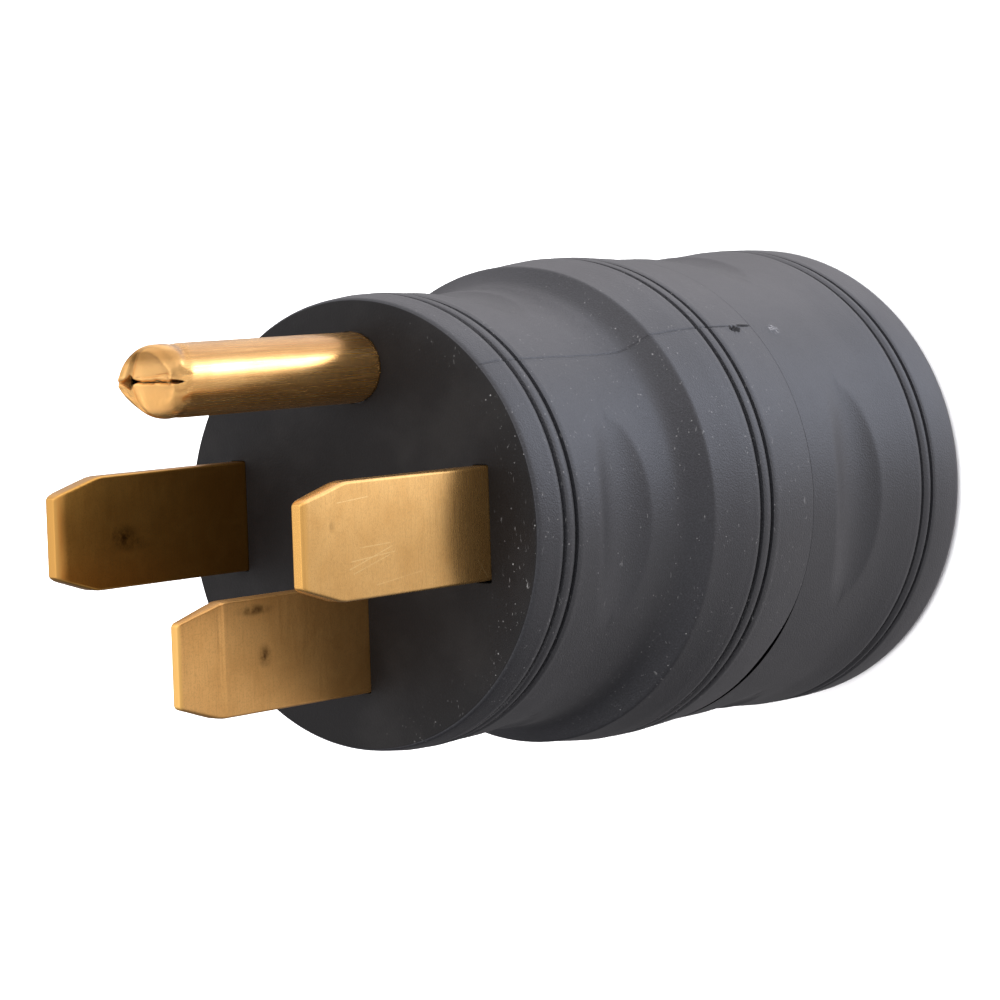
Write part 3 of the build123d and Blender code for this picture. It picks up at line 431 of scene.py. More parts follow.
def plastic(name, front):
    m, nt, b = mat_new(name)
    g = G(nt)
    co = g.co
    x, y, z = g.sep()
    base = (0.0078, 0.0081, 0.0094)
    cloud = g.noise(co, 55, 4, 0.6)
    col = g.mix(g.rng(cloud, 0.35, 0.7), base, tuple(c * 1.20 for c in base))
    grain = g.noise(co, 5600, 2, 0.6)
    col = g.mix(g.rng(grain, 0.40, 0.66), col, tuple(c * 1.9 for c in base))
    # dust: a few pale grains, most of them very small
    dust = g.math("MAXIMUM", g.specks(310, 0.030, 0.055), g.math("MULTIPLY", g.specks(640, 0.040, 0.045, (0.4, 0.9, 0.2)), 0.5))
    col = g.mix(g.math("MULTIPLY", dust, 0.45), col, (0.30, 0.29, 0.28))
    rough_n = g.noise(co, 240, 3, 0.6)
    rough = g.rng(rough_n, 0.3, 0.7, 0.385, 0.41)
    b.inputs["Specular IOR Level"].default_value = 0.66
    if front:
        # the prong face: duller and browner, dusted toward the right edge
        facing = g.rng(z, 0.0789, 0.07895)
        fog = g.noise(co, 130, 4, 0.6)
        face_col = g.mix(g.rng(fog, 0.4, 0.7), (0.0038, 0.0036, 0.0036), (0.0062, 0.0058, 0.0056))
        rad = g.math("SQRT", g.math("ADD", g.math("MULTIPLY", x, x), g.math("MULTIPLY", y, y)))
        edge = g.math("MULTIPLY", g.rng(rad, 0.0195, 0.0236), g.rng(x, 0.000, 0.016))
        sc = g.n("ShaderNodeMapping")
        g.link(co, sc.inputs["Vector"])
        sc.inputs["Rotation"].default_value = (0, 0, math.radians(35))
        sc.inputs["Scale"].default_value = (3800, 900, 1900)
        scr = g.noise(sc.outputs["Vector"], 1.0, 3, 0.65, 0.6)
        many = g.math("MAXIMUM", g.specks(1700, 0.17, 0.42), g.math("MULTIPLY", g.rng(scr, 0.64, 0.72), 0.8))
        near = g.blob((0.0216, -0.003, 0.079), (0.0050, 0.0125, 0.004))
        zone = g.math("MAXIMUM", edge, near)
        zone = g.math("MULTIPLY", zone, g.rng(g.noise(co, 420, 3, 0.6), 0.44, 0.56))
        both = g.math("MULTIPLY", zone, many)
        face_col = g.mix(g.math("MULTIPLY", dust, 0.4), face_col, (0.16, 0.155, 0.15))
        col = g.mix(facing, col, face_col)
        col = g.mix(g.math("MULTIPLY", both, 0.55), col, (0.22, 0.215, 0.21))
        rough2 = g.n("ShaderNodeMix", data_type="FLOAT")
        g.link(facing, rough2.inputs["Factor"])
        g.link(rough, rough2.inputs[2])
        rough2.inputs[3].default_value = 0.58
        rough = rough2.outputs[0]
        g.link(g.rng(facing, 0.0, 1.0, 0.66, 0.26, False), b.inputs["Specular IOR Level"])
    else:
        # whitish scab at the gate
        gate = g.blob((0.02760 * math.sin(math.radians(46.3)), 0.02760 * math.cos(math.radians(46.3)), 0.0278),
                      (0.0011, 0.0011, 0.0014))
        gn = g.noise(co, 2600, 2, 0.6)
        gate = g.math("MULTIPLY", g.rng(gate, 0.05, 0.5), g.rng(gn, 0.46, 0.6))
        col = g.mix(g.math("MULTIPLY", gate, 0.72), col, (0.26, 0.26, 0.27))
    # fine satin grain, as a bump
    fine = g.noise(co, 4600, 2, 0.5)
    n2 = g.bump(fine, 0.42, 0.00010)
    g.link(col, b.inputs["Base Color"])
    g.link(rough, b.inputs["Roughness"])
    g.link(n2, b.inputs["Normal"])
    b.inputs["IOR"].default_value = 1.5
    return m


def brass(name, base, dark, grain="cross", rough=(0.30, 0.38), root_tarnish_and_shade=None, underside_shade=None, tip=None, spots_and_pit_shade=(),
          scratches=(), at=0.0, metal=0.92, mottle=1.0, soft=1.0, over=None):
    m, nt, b = mat_new(name)
    g = G(nt)
    x, y, z = g.sep()
    gs = {"cross": (2400, 260, 5600), "long": (3600, 3600, 90)}[grain]
    grain_n = g.noise(g.mapped(gs), 1.0, 4, 0.6)
    fine = g.noise(g.mapped(tuple(2.3 * s for s in gs), (4, 2, 1)), 1.0, 2, 0.5)
    if grain == "long":
        # the drawn lines end at the folded nose
        f = g.rng(z, 0.1093, 0.1080, 0.12, 1.0)
        grain_n = g.math("ADD", g.math("MULTIPLY", g.math("SUBTRACT", grain_n, 0.5), f), 0.5)
        fine = g.math("ADD", g.math("MULTIPLY", g.math("SUBTRACT", fine, 0.5), f), 0.5)
    dots = g.noise(g.co, 5200, 3, 0.7)
    cloud = g.noise(g.co, 230, 4, 0.6, 0.4)
    col = g.mix(g.rng(cloud, 0.32, 0.72), base, tuple(c * k for c, k in zip(base, (0.90, 0.86, 0.80))))
    col = g.mix(g.math("MULTIPLY", g.rng(grain_n, 0.42, 0.72), 0.22 * mottle), col, tuple(c * 0.62 for c in base))
    col = g.mix(g.math("MULTIPLY", g.rng(dots, 0.46, 0.66), 0.36 * mottle * soft), col, tuple(c * 0.58 for c in base))
    if root_tarnish_and_shade is not None:
        # darker toward the root: partly tarnish, partly painted shade in place of the dimmer reflection near the
        # housing face
        lo, hi, amount = root_tarnish_and_shade
        t = g.math("MULTIPLY", g.rng(z, hi, lo), amount)
        t = g.math("MULTIPLY", t, g.rng(cloud, 0.2, 0.6, 0.75, 1.0))
        col = g.mix(t, col, dark)
    if underside_shade is not None:
        # painted shade: a redder, darker tone along the lower side of the pin
        hi, lo, amount = underside_shade
        col = g.mix(g.math("MULTIPLY", g.rng(y, hi, lo), amount), col, (0.78, 0.400, 0.110))
    if over is not None:
        # painted shade along the upper side of the pin, broken into streaks, then faint dark streaks along the whole
        # stem that fade out at the nose
        lo, hi, amount = over
        t = g.math("MULTIPLY", g.rng(y, lo, lo + 0.0011), g.rng(y, hi, hi - 0.0008))
        t = g.math("MULTIPLY", g.math("MULTIPLY", t, g.rng(grain_n, 0.25, 0.55, 0.55, 1.0)), amount)
        col = g.mix(t, col, (0.30, 0.145, 0.040))
        ends = g.rng(g.noise(g.mapped((1500, 1500, 110), (3, 1, 5)), 1.0, 3, 0.6), 0.46, 0.68)
        col = g.mix(g.math("MULTIPLY", g.math("MULTIPLY", ends, f), 0.30), col, (0.42, 0.20, 0.055))
    for centre, radii, amount in spots_and_pit_shade:
        s = g.blob(centre, radii)
        # an amount of 1 or more paints near-black shade into a pit or a slit; smaller amounts darken a mottled blotch
        # toward the dark colour
        if amount >= 1.0:
            col = g.mix(g.rng(s, 0.0, 0.35), col, (0.012, 0.008, 0.004))
            continue
        s = g.math("MULTIPLY", s, g.rng(g.noise(g.co, 800, 4, 0.65), 0.30, 0.62, 0.15, 1.0))
        col = g.mix(g.math("MULTIPLY", s, amount), col, tuple(c * 0.30 for c in dark))
    if tip is not None:
        top, tip_col, fade = tip
        col = g.mix(g.rng(z, top - fade, top - 0.0001), col, tip_col)
    # small pits, and fine bright nicks
    pit = g.specks(700, 0.055, 0.16, (0.3, 0.7, 0.1))
    col = g.mix(g.math("MULTIPLY", pit, 0.45), col, tuple(c * 0.3 for c in dark))
    nick = g.math("MULTIPLY", g.specks(900, 0.050, 0.10, (0.7, 0.2, 0.4)), 0.5)
    if scratches:
        front = g.rng(x, at + 0.0005, at + 0.0009)
        lines = None
        for a, e, half in scratches:
            k = g.segment(a, e, half)
            lines = k if lines is None else g.math("MAXIMUM", lines, k)
        lines = g.math("MULTIPLY", g.math("MULTIPLY", lines, front), g.rng(g.noise(g.co, 1500, 3, 0.6), 0.3, 0.6, 0.45, 1.0))
        nick = g.math("MAXIMUM", nick, lines)
    col = g.mix(g.math("MULTIPLY", nick, 0.70), col, tuple(min(1.0, c * 1.25 + 0.10) for c in base))
    r = g.rng(grain_n, 0.3, 0.7, rough[0], rough[1])
    n1 = g.bump(grain_n, 0.035 * soft, 0.00005)
    n2 = g.bump(fine, 0.030 * soft, 0.00003, n1)
    g.link(col, b.inputs["Base Color"])
    g.link(r, b.inputs["Roughness"])
    g.link(n2, b.inputs["Normal"])
    b.inputs["Metallic"].default_value = metal
    return m


def plain(name, col, metallic, rough, grain=600, strength=0.15):
    m, nt, b = mat_new(name)
    g = G(nt)
    n = g.noise(g.co, grain, 4, 0.6)
    c = g.mix(g.rng(n, 0.35, 0.7), col, tuple(0.82 * k for k in col))
    g.link(c, b.inputs["Base Color"])
    g.link(g.rng(n, 0.3, 0.7, rough - 0.05, rough + 0.07), b.inputs["Roughness"])
    g.link(g.bump(g.noise(g.co, grain * 3, 2), strength, 0.00005), b.inputs["Normal"])
    b.inputs["Metallic"].default_value = metallic
    return m


M_FRONT = plastic("moulded black upper", True)
M_REAR = plastic("moulded black lower", False)
GOLD = (0.80, 0.475, 0.165)
DARK = (0.34, 0.150, 0.035)
TIP_Z = BLADE_TOP * MM
M_HOT = brass("brass side blade", GOLD, DARK, root_tarnish_and_shade=(0.0795, 0.0885, 0.40), tip=(TIP_Z, (0.82, 0.455, 0.125), 0.0011), at=0.017, rough=(0.22, 0.29),
              spots_and_pit_shade=[((0.018, 0.0023, 0.1041), (0.0012, 0.0008, 0.0006), 0.45)],
              scratches=[((-2.21, 101.57), (-0.35, 94.9), 0.07), ((-1.44, 101.22), (-0.93, 94.49), 0.06),
                         ((-2.7, 101.0), (-1.2, 95.3), 0.05), ((-0.15, 99.91), (0.0, 95.2), 0.05),
                         ((-3.03, 81.11), (-4.95, 79.53), 0.05), ((-3.1, 80.1), (-4.6, 81.0), 0.04),
                         ((-3.3, 90.2), (-4.1, 97.5), 0.04), ((4.6, 103.2), (4.9, 98.5), 0.05)])
M_IDLE = brass("brass dark blade", (0.62, 0.328, 0.072), (0.30, 0.120, 0.020), root_tarnish_and_shade=(0.078, 0.1045, 0.55),
               tip=(TIP_Z, (0.80, 0.430, 0.110), 0.0019), at=-0.017, metal=0.97,
               spots_and_pit_shade=[((-0.016, -0.0001, 0.0983), (0.004, 0.0018, 0.0028), 0.95),
                      ((-0.016, -0.0009, 0.0968), (0.004, 0.0010, 0.0030), 0.5)])
M_NEU = brass("brass lower blade", (0.80, 0.450, 0.150), (0.36, 0.160, 0.036), root_tarnish_and_shade=(0.078, 0.1035, 0.40), rough=(0.36, 0.44),
              tip=(TIP_Z, (0.90, 0.53, 0.155), 0.0005), at=0.0,
              spots_and_pit_shade=[((0.001, -0.0073, 0.0972), (0.004, 0.0008, 0.0036), 0.95),
                     ((0.001, -0.0122, 0.0958), (0.004, 0.0016, 0.0014), 0.95)])
# on the pin the three near-black spots are painted shade in its two eyes and its slit
M_PIN = brass("brass ground pin", (0.80, 0.470, 0.170), (0.36, 0.170, 0.050), grain="long", rough=(0.23, 0.29),
              root_tarnish_and_shade=(0.0795, 0.1000, 0.35), underside_shade=(0.0176, 0.0150, 0.30), mottle=0.40, soft=0.35, over=(0.0184, 0.0207, 0.76),
              spots_and_pit_shade=[((-0.00275, 0.01695, 0.1090), (0.0009, 0.0008, 0.00135), 1.0),
                     ((0.00302, 0.01697, 0.1083), (0.0006, 0.0004, 0.0013), 1.0),
                     ((0.00020, 0.01695, 0.1098), (0.0042, 0.00009, 0.0030), 1.0)])
M_INSERT = plain("insert black", (0.0100, 0.0100, 0.0108), 0.0, 0.48)
M_INNER = plain("stamped brass", (0.72, 0.50, 0.20), 1.0, 0.34)
M_SPRING = plain("spring steel", (0.42, 0.42, 0.43), 1.0, 0.38)
M_SCREW = plain("plated steel", (0.56, 0.55, 0.52), 1.0, 0.33)
M_CARRIER = plain("dark insulator", (0.028, 0.026, 0.024), 0.0, 0.55)
M_BARRIER = plain("pale insulator", (0.50, 0.47, 0.40), 0.0, 0.6)

# ------------------------------------------------------------- upper housing
def samples(a, b, n):
    return np.linspace(a, b, n)


def profile_front():
    pts = []
    pts += [(25.0, 37.0), (25.0, SEAM_Z + 0.15), (25.15, SEAM_Z), (26.2, SEAM_Z), (27.0, SEAM_Z), (27.25, SEAM_Z + 0.002), (27.262, SEAM_Z + 0.02)]
    band = hermite([(27.268, SEAM_Z + 0.08), (27.5, 35.5), (27.67, 39.0), (27.72, 42.4), (27.58, 45.0),
                    (27.32, 47.4), (27.12, 49.4), (27.03, 50.55)], 40)
    lip = hermite([(27.03, 50.55), (26.98, 50.85), (26.84, 51.10), (26.62, 51.36)], 5)
    slope = hermite([(26.62, 51.36), (25.9, 52.25), (25.1, 53.45), (24.66, 54.7), (24.5, 56.6)], 12)
    waist = hermite([(24.5, 56.6), (24.48, 60.5), (24.48, 64.0), (24.58, 68.0), (24.66, 71.6), (24.74, 75.3),
                     (24.55, 77.6), (24.42, 78.45)], 30)
    edge = [(24.36, 78.66), (24.26, 78.82), (24.13, 78.94), (R_FACE, H)]
    body = np.concatenate([band[:-1], lip[:-1], slope[:-1], waist])
    z = body[:, 1]
    keep, last = [], -1e9
    groove = [(74.7, 0.33, 0.62), (72.6, 0.30, 0.70), (42.6, 0.33, 0.62), (40.6, 0.30, 0.70)]
    for r, zz in body:
        near = min(abs(zz - g[0]) for g in groove) < 0.75
        keep.append((r, zz))
    body = np.array(keep)
    # resample by height, close together at the grooves, the lip and the vent
    zs = []
    cur = body[0, 1]
    end = body[-1, 1]
    while cur < end:
        zs.append(cur)
        dg = min(abs(cur - g[0]) for g in groove)
        step = 0.42
        if dg < 0.62:
            step = 0.075
        if 34.2 < cur < 37.0:
            step = min(step, 0.16)
        if 50.3 < cur < 51.6:
            step = min(step, 0.14)
        if 57.5 < cur < 69.5:
            step = min(step, 0.34)
        cur += step
    zs.append(end)
    rr = np.interp(zs, body[:, 1], body[:, 0])
    out = []
    for r, zz in zip(rr, zs):
        cut = sum(groove_cut(np.array(zz), c, h, d) for c, h, d in groove)
        # each groove has slightly rolled lips
        roll = sum(0.16 * math.exp(-((abs(zz - c) - 0.85) / 0.26)**2) for c, h, d in groove)
        out.append((float(r - cut + roll * 0.4), float(zz)))
    return pts + out + edge


front_prof = profile_front()
rows = body_rows(front_prof, (63.4, 24.5), True)
# the seam stands open along the lower right
gap_at = smooth01((THETA - 110) / 26) * (1 - smooth01((THETA - 174) / 14))
for i, (rr, zz) in enumerate(rows):
    z0 = front_prof[i][1]
    if z0 < SEAM_Z + 1.4 and i > 0:
        f = 1 - smooth01((z0 - SEAM_Z) / 1.4)
        rows[i] = (rr, zz + (0.001 + 0.86 * gap_at * (0.88 + 0.12 * np.sin(TH * 9))) * f)
verts, faces = rings_to_mesh(rows)
last = (len(rows) - 1) * NT
fill = [{"pts": rect(HOT_X, HOT_Y - 0.10, BLADE_T + 0.14, BLADE_W + 0.40, rad=0.25)},
        {"pts": rect(-HOT_X, HOT_Y, BLADE_T + 0.12, BLADE_W + 0.16, rad=0.25)},
        {"pts": rect(0, NEU_Y, BLADE_T + 0.12, BLADE_W + 0.18, rad=0.25)},
        {"pts": circle(0, PIN_Y, 3.94, 72), "depth": 0.5, "floor": ((0, PIN_Y), 3.62)}]
verts, faces = cap(verts, faces, list(range(last, last + NT)), H, fill, 5.5, True)
front = make("front_housing_skin", verts, faces, M_FRONT, 30)
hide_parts("front_housing")
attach(front, "root")

# ------------------------------------------------------------- lower housing
def profile_rear():
    arc = [(25.9 + 1.75 * math.sin(math.radians(a)) * 0.983, 1.75 - 1.75 * math.cos(math.radians(a)))
           for a in np.linspace(0, 90, 12)]
    body = hermite([(27.62, 1.75), (27.72, 4.0), (27.74, 6.2), (27.72, 8.6), (27.6, 11.0), (27.4, 13.6), (27.24, 16.6),
                    (27.2, 22.0), (27.24, 27.6), (27.268, SEAM_Z - 0.08)], 30)
    groove = [(9.0, 0.33, 0.62), (7.1, 0.30, 0.70)]
    zs, cur, end = [], 2.0, body[-1, 1]
    while cur < end:
        zs.append(cur)
        dg = min(abs(cur - g[0]) for g in groove)
        step = 0.45
        if dg < 0.62:
            step = 0.075
        if 14.0 < cur < 30.0:
            step = 0.36
        if 26.0 < cur < 29.6:
            step = 0.2
        cur += step
    zs.append(end)
    rr = np.interp(zs, body[:, 1], body[:, 0])
    out = []
    for r, zz in zip(rr, zs):
        cut = sum(groove_cut(np.array(zz), c, h, d) for c, h, d in groove)
        roll = sum(0.16 * math.exp(-((abs(zz - c) - 0.85) / 0.26)**2) for c, h, d in groove)
        out.append((float(r - cut + roll * 0.4), float(zz)))
    tail = [(27.262, SEAM_Z - 0.02), (27.25, SEAM_Z - 0.002), (27.0, SEAM_Z), (26.0, SEAM_Z), (24.95, SEAM_Z),
            (24.9, SEAM_Z + 0.1), (24.9, 36.5)]
    return arc + out + tail


rear_prof = profile_rear()
rows = body_rows(rear_prof, (22.0, 27.2), False)
for i, (rr, zz) in enumerate(rows):
    # the land behind the open seam drops away
    r0, z0 = rear_prof[i]
    if z0 > SEAM_Z - 0.04 and r0 < 27.26:
        drop = 0.04 if r0 > 27.24 else 0.25 if r0 > 27.1 else 1.0 if r0 > 26.9 else 2.2
        rows[i] = (rr, zz - gap_at * drop)
verts, faces = rings_to_mesh(rows)
holes = [{"pts": circle(0, 0, 14.45, 96), "depth": 6.0},
         {"pts": circle(CORNER, CORNER, 3.5, 64), "depth": 3.0, "floor": ((CORNER, CORNER), 2.15)},
         {"pts": circle(-CORNER, -CORNER, 3.5, 64), "depth": 3.0, "floor": ((-CORNER, -CORNER), 2.15)}]
verts, faces = cap(verts, faces, list(range(NT)), 0.0, holes, 6.0, False)
rear = make("rear_housing_skin", verts, faces, M_REAR, 30)
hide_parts("rear_housing")
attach(rear, "root")

# ------------------------------------------------------------ prongs
def plate(outline, hole, lo, hi, place):
    """Closed flat plate with one round hole; place puts (a, b, t) in space."""
    pts = list(outline) + list(hole)
    n, m = len(outline), len(hole)
    edges = [(i, (i + 1) % n) for i in range(n)] + [(n + i, n + (i + 1) % m) for i in range(m)]
    res = delaunay_2d_cdt([Vector(p) for p in pts], edges, [], 0, 1e-7)
    rv, rf, orig = res[0], res[2], res[3]
    verts = [place(a, b, t) for t in (lo, hi) for a, b in pts]
    faces, k = [], n + m
    for f in rf:
        if inside(hole, sum(rv[i][0] for i in f) / len(f), sum(rv[i][1] for i in f) / len(f)):
            continue
        q = [orig[i][0] for i in f]
        faces.append(tuple(q))
        faces.append(tuple(k + i for i in reversed(q)))
    for i in range(n):
        j = (i + 1) % n
        faces.append((j, i, k + i, k + j))
    for i in range(m):
        j = (i + 1) % m
        faces.append((n + i, n + j, k + n + j, k + n + i))
    return verts, faces


def round_ring(cx, cy, hx, lo, hi, z, rad, nc=6):
    """Level ring round a bar: half thickness hx, lo to hi in y, rounded edges."""
    rad = max(0.03, min(rad, hx - 0.02))
    out = []
    for sx, yy, a0 in ((1, lo, -90), (1, hi, 0), (-1, hi, 90), (-1, lo, 180)):
        sy = -1 if yy == lo else 1
        for a in np.linspace(0, 90, nc):
            t = math.radians(a0 + a)
            out.append((cx + sx * (hx - rad) + rad * math.cos(t), cy + yy - sy * rad + rad * math.sin(t), z))
    return out


def smin(a, b, k):
    h = min(1.0, max(0.0, 0.5 + 0.5 * (b - a) / k))
    return b * (1 - h) + a * h - k * h * (1 - h)


def blade_mesh(cx, cy, shoulder, up, down, tip_t, roll, coin=0.0, thin=3.6):
    """Tail with its rivet hole, shoulders, straight part and a rounded tip."""
    w, top = BLADE_W / 2, BLADE_TOP
    zs = [64.0, 67.0, 67.0] + list(np.linspace(67.6, 98.0, 50)) + list(np.linspace(98.2, top - roll[1], 70))
    rings = []
    for i, z in enumerate(zs):
        if i < 2:
            rings.append(round_ring(cx, cy, BLADE_T / 2, -shoulder, shoulder, z, 0.12))
            continue
        hi = smin(w, up[1] + (top - z) * (w - up[1]) / up[0], 0.22)
        lo = -smin(w, down[1] + (top - z) * (w - down[1]) / down[0], 0.22)
        ht = BLADE_T / 2 - (BLADE_T / 2 - tip_t / 2) * float(smooth01((z - top + thin) / thin)) ** 1.2
        if coin:
            ht -= coin * float(smooth01((z - 102.2) / 0.25))
            ht -= 0.9 * coin * math.exp(-((z - 102.15) / 0.14)**2)
        rings.append(round_ring(cx, cy, ht, lo, hi, z, 0.34))
    last_hi, last_lo, last_ht = hi, lo, ht
    for a in np.linspace(0, 90, 12)[1:]:
        t = math.radians(a)
        z = top - roll[1] * (1 - math.sin(t))
        k = 1 - math.cos(t)
        hi = smin(w, up[1] + (top - z) * (w - up[1]) / up[0], 0.22) - 0.35 * k
        lo = -smin(w, down[1] + (top - z) * (w - down[1]) / down[0], 0.22) + 0.35 * k
        rings.append(round_ring(cx, cy, last_ht - roll[0] * k, lo, hi, z, 0.34 - 0.16 * k))
    n = len(rings[0])
    verts = [p for ring in rings for p in ring]
    faces = []
    for i in range(len(rings) - 1):
        for j in range(n):
            k = (j + 1) % n
            faces.append((i * n + j, i * n + k, (i + 1) * n + k, (i + 1) * n + j))
    faces.append(tuple(range(n - 1, -1, -1)))
    e = (len(rings) - 1) * n
    faces.append(tuple(range(e, e + n)))
    tail = [(-4.5, 47.0), (4.5, 47.0), (4.5, 64.1), (-4.5, 64.1)]
    hole = [(1.63 * math.cos(2 * math.pi * i / 40), 52.0 + 1.63 * math.sin(2 * math.pi * i / 40)) for i in range(40)]
    tv, tf = plate(tail, hole, -BLADE_T / 2, BLADE_T / 2, lambda a, b, t: (cx - t, cy + a, b))
    s = len(verts)
    return verts + tv, faces + [tuple(s + i for i in f) for f in tf]


def add_blade(node, slot, mat, *args, **kw):
    v, f = blade_mesh(*args, **kw)
    ob = make(node + "_skin", v, f, mat, 38)
    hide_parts(node)
    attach(ob, "root")


add_blade("hot_blade", "brass_blade", M_HOT, HOT_X, HOT_Y, 8.65, (6.5, 4.35), (5.7, 4.38), 1.62, (0.42, 1.15))
add_blade("idle_blade", "brass_blade_worn", M_IDLE, -HOT_X, HOT_Y, 8.65, (6.5, 4.35), (5.7, 4.38), 1.88, (0.52, 1.6), thin=4.4)
add_blade("neutral_blade", "brass_blade_worn", M_NEU, 0.0, NEU_Y, 7.75, (6.5, 4.35), (5.7, 4.38), 1.42, (0.30, 0.55),
          coin=0.11, thin=6.2)


def round_table(angles, values, ang):
    """Smooth values round the pin from a short table, angles in degrees."""
    v = np.interp(np.degrees(ang), angles, values)
    w = np.hanning(17)
    w /= w.sum()
    ext = np.concatenate([v[-8:], v, v[:8]])
    return np.convolve(ext, w, "valid")


def pin_mesh():
    """Rolled pin: round stem, and a blunt end folded in two lobes that meet in a slit."""
    n = 288
    ang = np.linspace(0, 2 * math.pi, n, endpoint=False)
    ca, sa = np.cos(ang), np.sin(ang)
    deg = [0, 45, 90, 130, 150, 168, 180, 192, 210, 230, 270, 315, 360]
    rim_z = round_table(deg, [109.95, 110.30, 110.60, 110.70, 110.85, 111.05, 111.22, 111.05, 110.50, 110.15, 109.95, 109.95, 109.95], ang)
    rim_q = round_table(deg, [0.34, 0.32, 0.20, 0.12, 0.08, 0.06, 0.05, 0.07, 0.16, 0.28, 0.34, 0.36, 0.34], ang)
    rim_h = round_table(deg, [2.0, 2.0, 1.2, 0.8, 0.6, 0.45, 0.4, 0.5, 0.9, 1.3, 1.7, 2.0, 2.0], ang)
    rings = []
    low = [67.0, 70.0, 73.0, 76.0, H, H + 0.001] + list(np.linspace(H + 0.4, 105.0, 60))
    for z in low:
        r = np.full(n, 3.6 if z <= H else PIN_R)
        if z > H + 0.3:
            # long joint of the rolled sheet, on the far side from the blades
            d = (ang - math.pi / 2) * PIN_R
            r = r - 0.35 * np.exp(-(d / 0.14)**2)
            r = r + 0.008 * hash_noise(ang * 3, np.full(n, z * 0.3), 11)
        r = np.minimum(r, PIN_R)
        rings.append(np.stack([r * ca, PIN_Y + r * sa, np.full(n, z)], 1))
    foot = rim_z - rim_h
    for k in np.linspace(0, 1, 44)[1:]:
        z = 105.0 + (foot - 105.0) * k
        d = (ang - math.pi / 2) * PIN_R
        r = PIN_R - 0.35 * np.exp(-(d / 0.14)**2) * (1 - smooth01((z - 105.4) / 1.0))
        r = r - neck(sa, z) + side_dent(ca, sa, z)
        rings.append(np.stack([r * ca, PIN_Y + r * sa, z], 1))
    steps = [(a, None) for a in np.linspace(0, math.pi / 2, 30)[1:]] + [(math.pi / 2, u) for u in np.linspace(1, 0, 64)[1:-1]]
    for a, u in steps:
        edge = 1 - rim_q * (1 - math.cos(a))
        rho = edge if u is None else edge * u
        z = rim_z - rim_h * (1 - math.sin(a))
        if u is not None:
            # the folded flaps lie lower than the rim
            z = 109.78 + (rim_z - 109.78) * u**2.4
        x, y = PIN_R * rho * ca, PIN_R * rho * sa
        lift = math.sin(a)**2
        ay = np.abs(y)
        # crease where each flap turns up into the left ear, with a rolled edge beside it
        xc = -(2.62 - 0.02 * ay - 0.145 * ay**2)
        d = x - xc
        on = lift * smooth01((ay - 0.1) / 0.5) * smooth01((3.6 - ay) / 0.7)
        top = np.where(y > 0, 1.0, 0.75)
        z = z - on * top * 0.20 * np.exp(-(d / 0.17)**2) + on * top * 0.10 * np.exp(-((d + 0.42) / 0.22)**2)
        z = z + on * 0.07 * np.exp(-((d - 0.55) / 0.30)**2)
        # the flaps bulge a little between crease and slit
        z = z + lift * 0.16 * np.exp(-((ay - 1.9) / 1.1)**2 - (x / 2.2)**2)
        # slit with slightly rolled lips, and a wrinkle beside it
        wob = 0.05 * np.sin(2.3 * x + 0.6) + 0.03 * np.sin(5.1 * x)
        ys = y - wob
        span = lift * smooth01((3.3 - x) / 0.5)
        z = z - span * (0.20 * np.exp(-(np.abs(ys) / 0.15)**1.6) - 0.10 * np.exp(-((np.abs(ys) - 0.38) / 0.20)**2))
        z = z - 0.09 * lift * np.exp(-((y - 0.62 - 0.10 * x) / 0.10)**2) * smooth01((2.6 - np.abs(x)) / 0.8)
        # the two eyes: a four-pointed one on the left, a narrow one on the right
        ex, ey = np.abs(x + 2.75) / 0.78, np.abs(ys + 0.02) / 0.78
        star = np.power(ex, 0.78) + np.power(ey, 0.78)
        z = z - 1.9 * lift * smooth01((1.12 - star) / 0.42)
        ex, ey = (x - 3.02) / 0.52, (ys - 0.02) / 0.20
        z = z - 1.7 * lift * smooth01((1.25 - np.hypot(ex, ey)) / 0.55)
        r = np.hypot(x, y) + (side_dent(ca, sa, z) - neck(sa, z)) * (1 if u is None else u**6)
        rings.append(np.stack([r * ca, PIN_Y + r * sa, np.minimum(z, H + PIN_L - 0.004)], 1))
    verts = np.concatenate(rings)
    faces = []
    for i in range(len(rings) - 1):
        a, b = i * n, (i + 1) * n
        for j in range(n):
            k = (j + 1) % n
            faces.append((a + j, a + k, b + k, b + j))
    centre = float(rings[-1][:, 2].mean())
    top = len(verts)
    verts = [tuple(v) for v in verts] + [(0.0, PIN_Y, centre - 0.03)]
    a = (len(rings) - 1) * n
    for j in range(n):
        faces.append((a + j, a + (j + 1) % n, top))
    # collar and flattened tail with its rivet hole
    m = 72
    s = len(verts)
    for z in (64.0, 67.0):
        for i in range(m):
            t = 2 * math.pi * i / m
            verts.append((4.75 * math.cos(t), PIN_Y - 0.9 + 4.75 * math.sin(t), z))
    for i in range(m):
        j = (i + 1) % m
        faces.append((s + i, s + j, s + m + j, s + m + i))
    faces.append(tuple(s + m + i for i in range(m)))
    faces.append(tuple(s + m - 1 - i for i in range(m)))
    tail = [(-3.5, 47.0), (3.5, 47.0), (3.5, 64.1), (-3.5, 64.1)]
    hole = [(1.63 * math.cos(2 * math.pi * i / 40), 52.0 + 1.63 * math.sin(2 * math.pi * i / 40)) for i in range(40)]
    tv, tf = plate(tail, hole, 15.95, 17.95, lambda a, b, t: (a, t, b))
    s = len(verts)
    return verts + tv, faces + [tuple(s + i for i in f) for f in tf]


def neck(sa, z):
    """Valley below each lobe, deep at the top and faint underneath."""
    zv = 109.5 - 2.4 * np.abs(sa)**1.3
    depth = np.where(sa > 0, 0.21, 0.06) * np.abs(sa)**0.5
    return depth * np.exp(-((z - zv) / 0.62)**2)


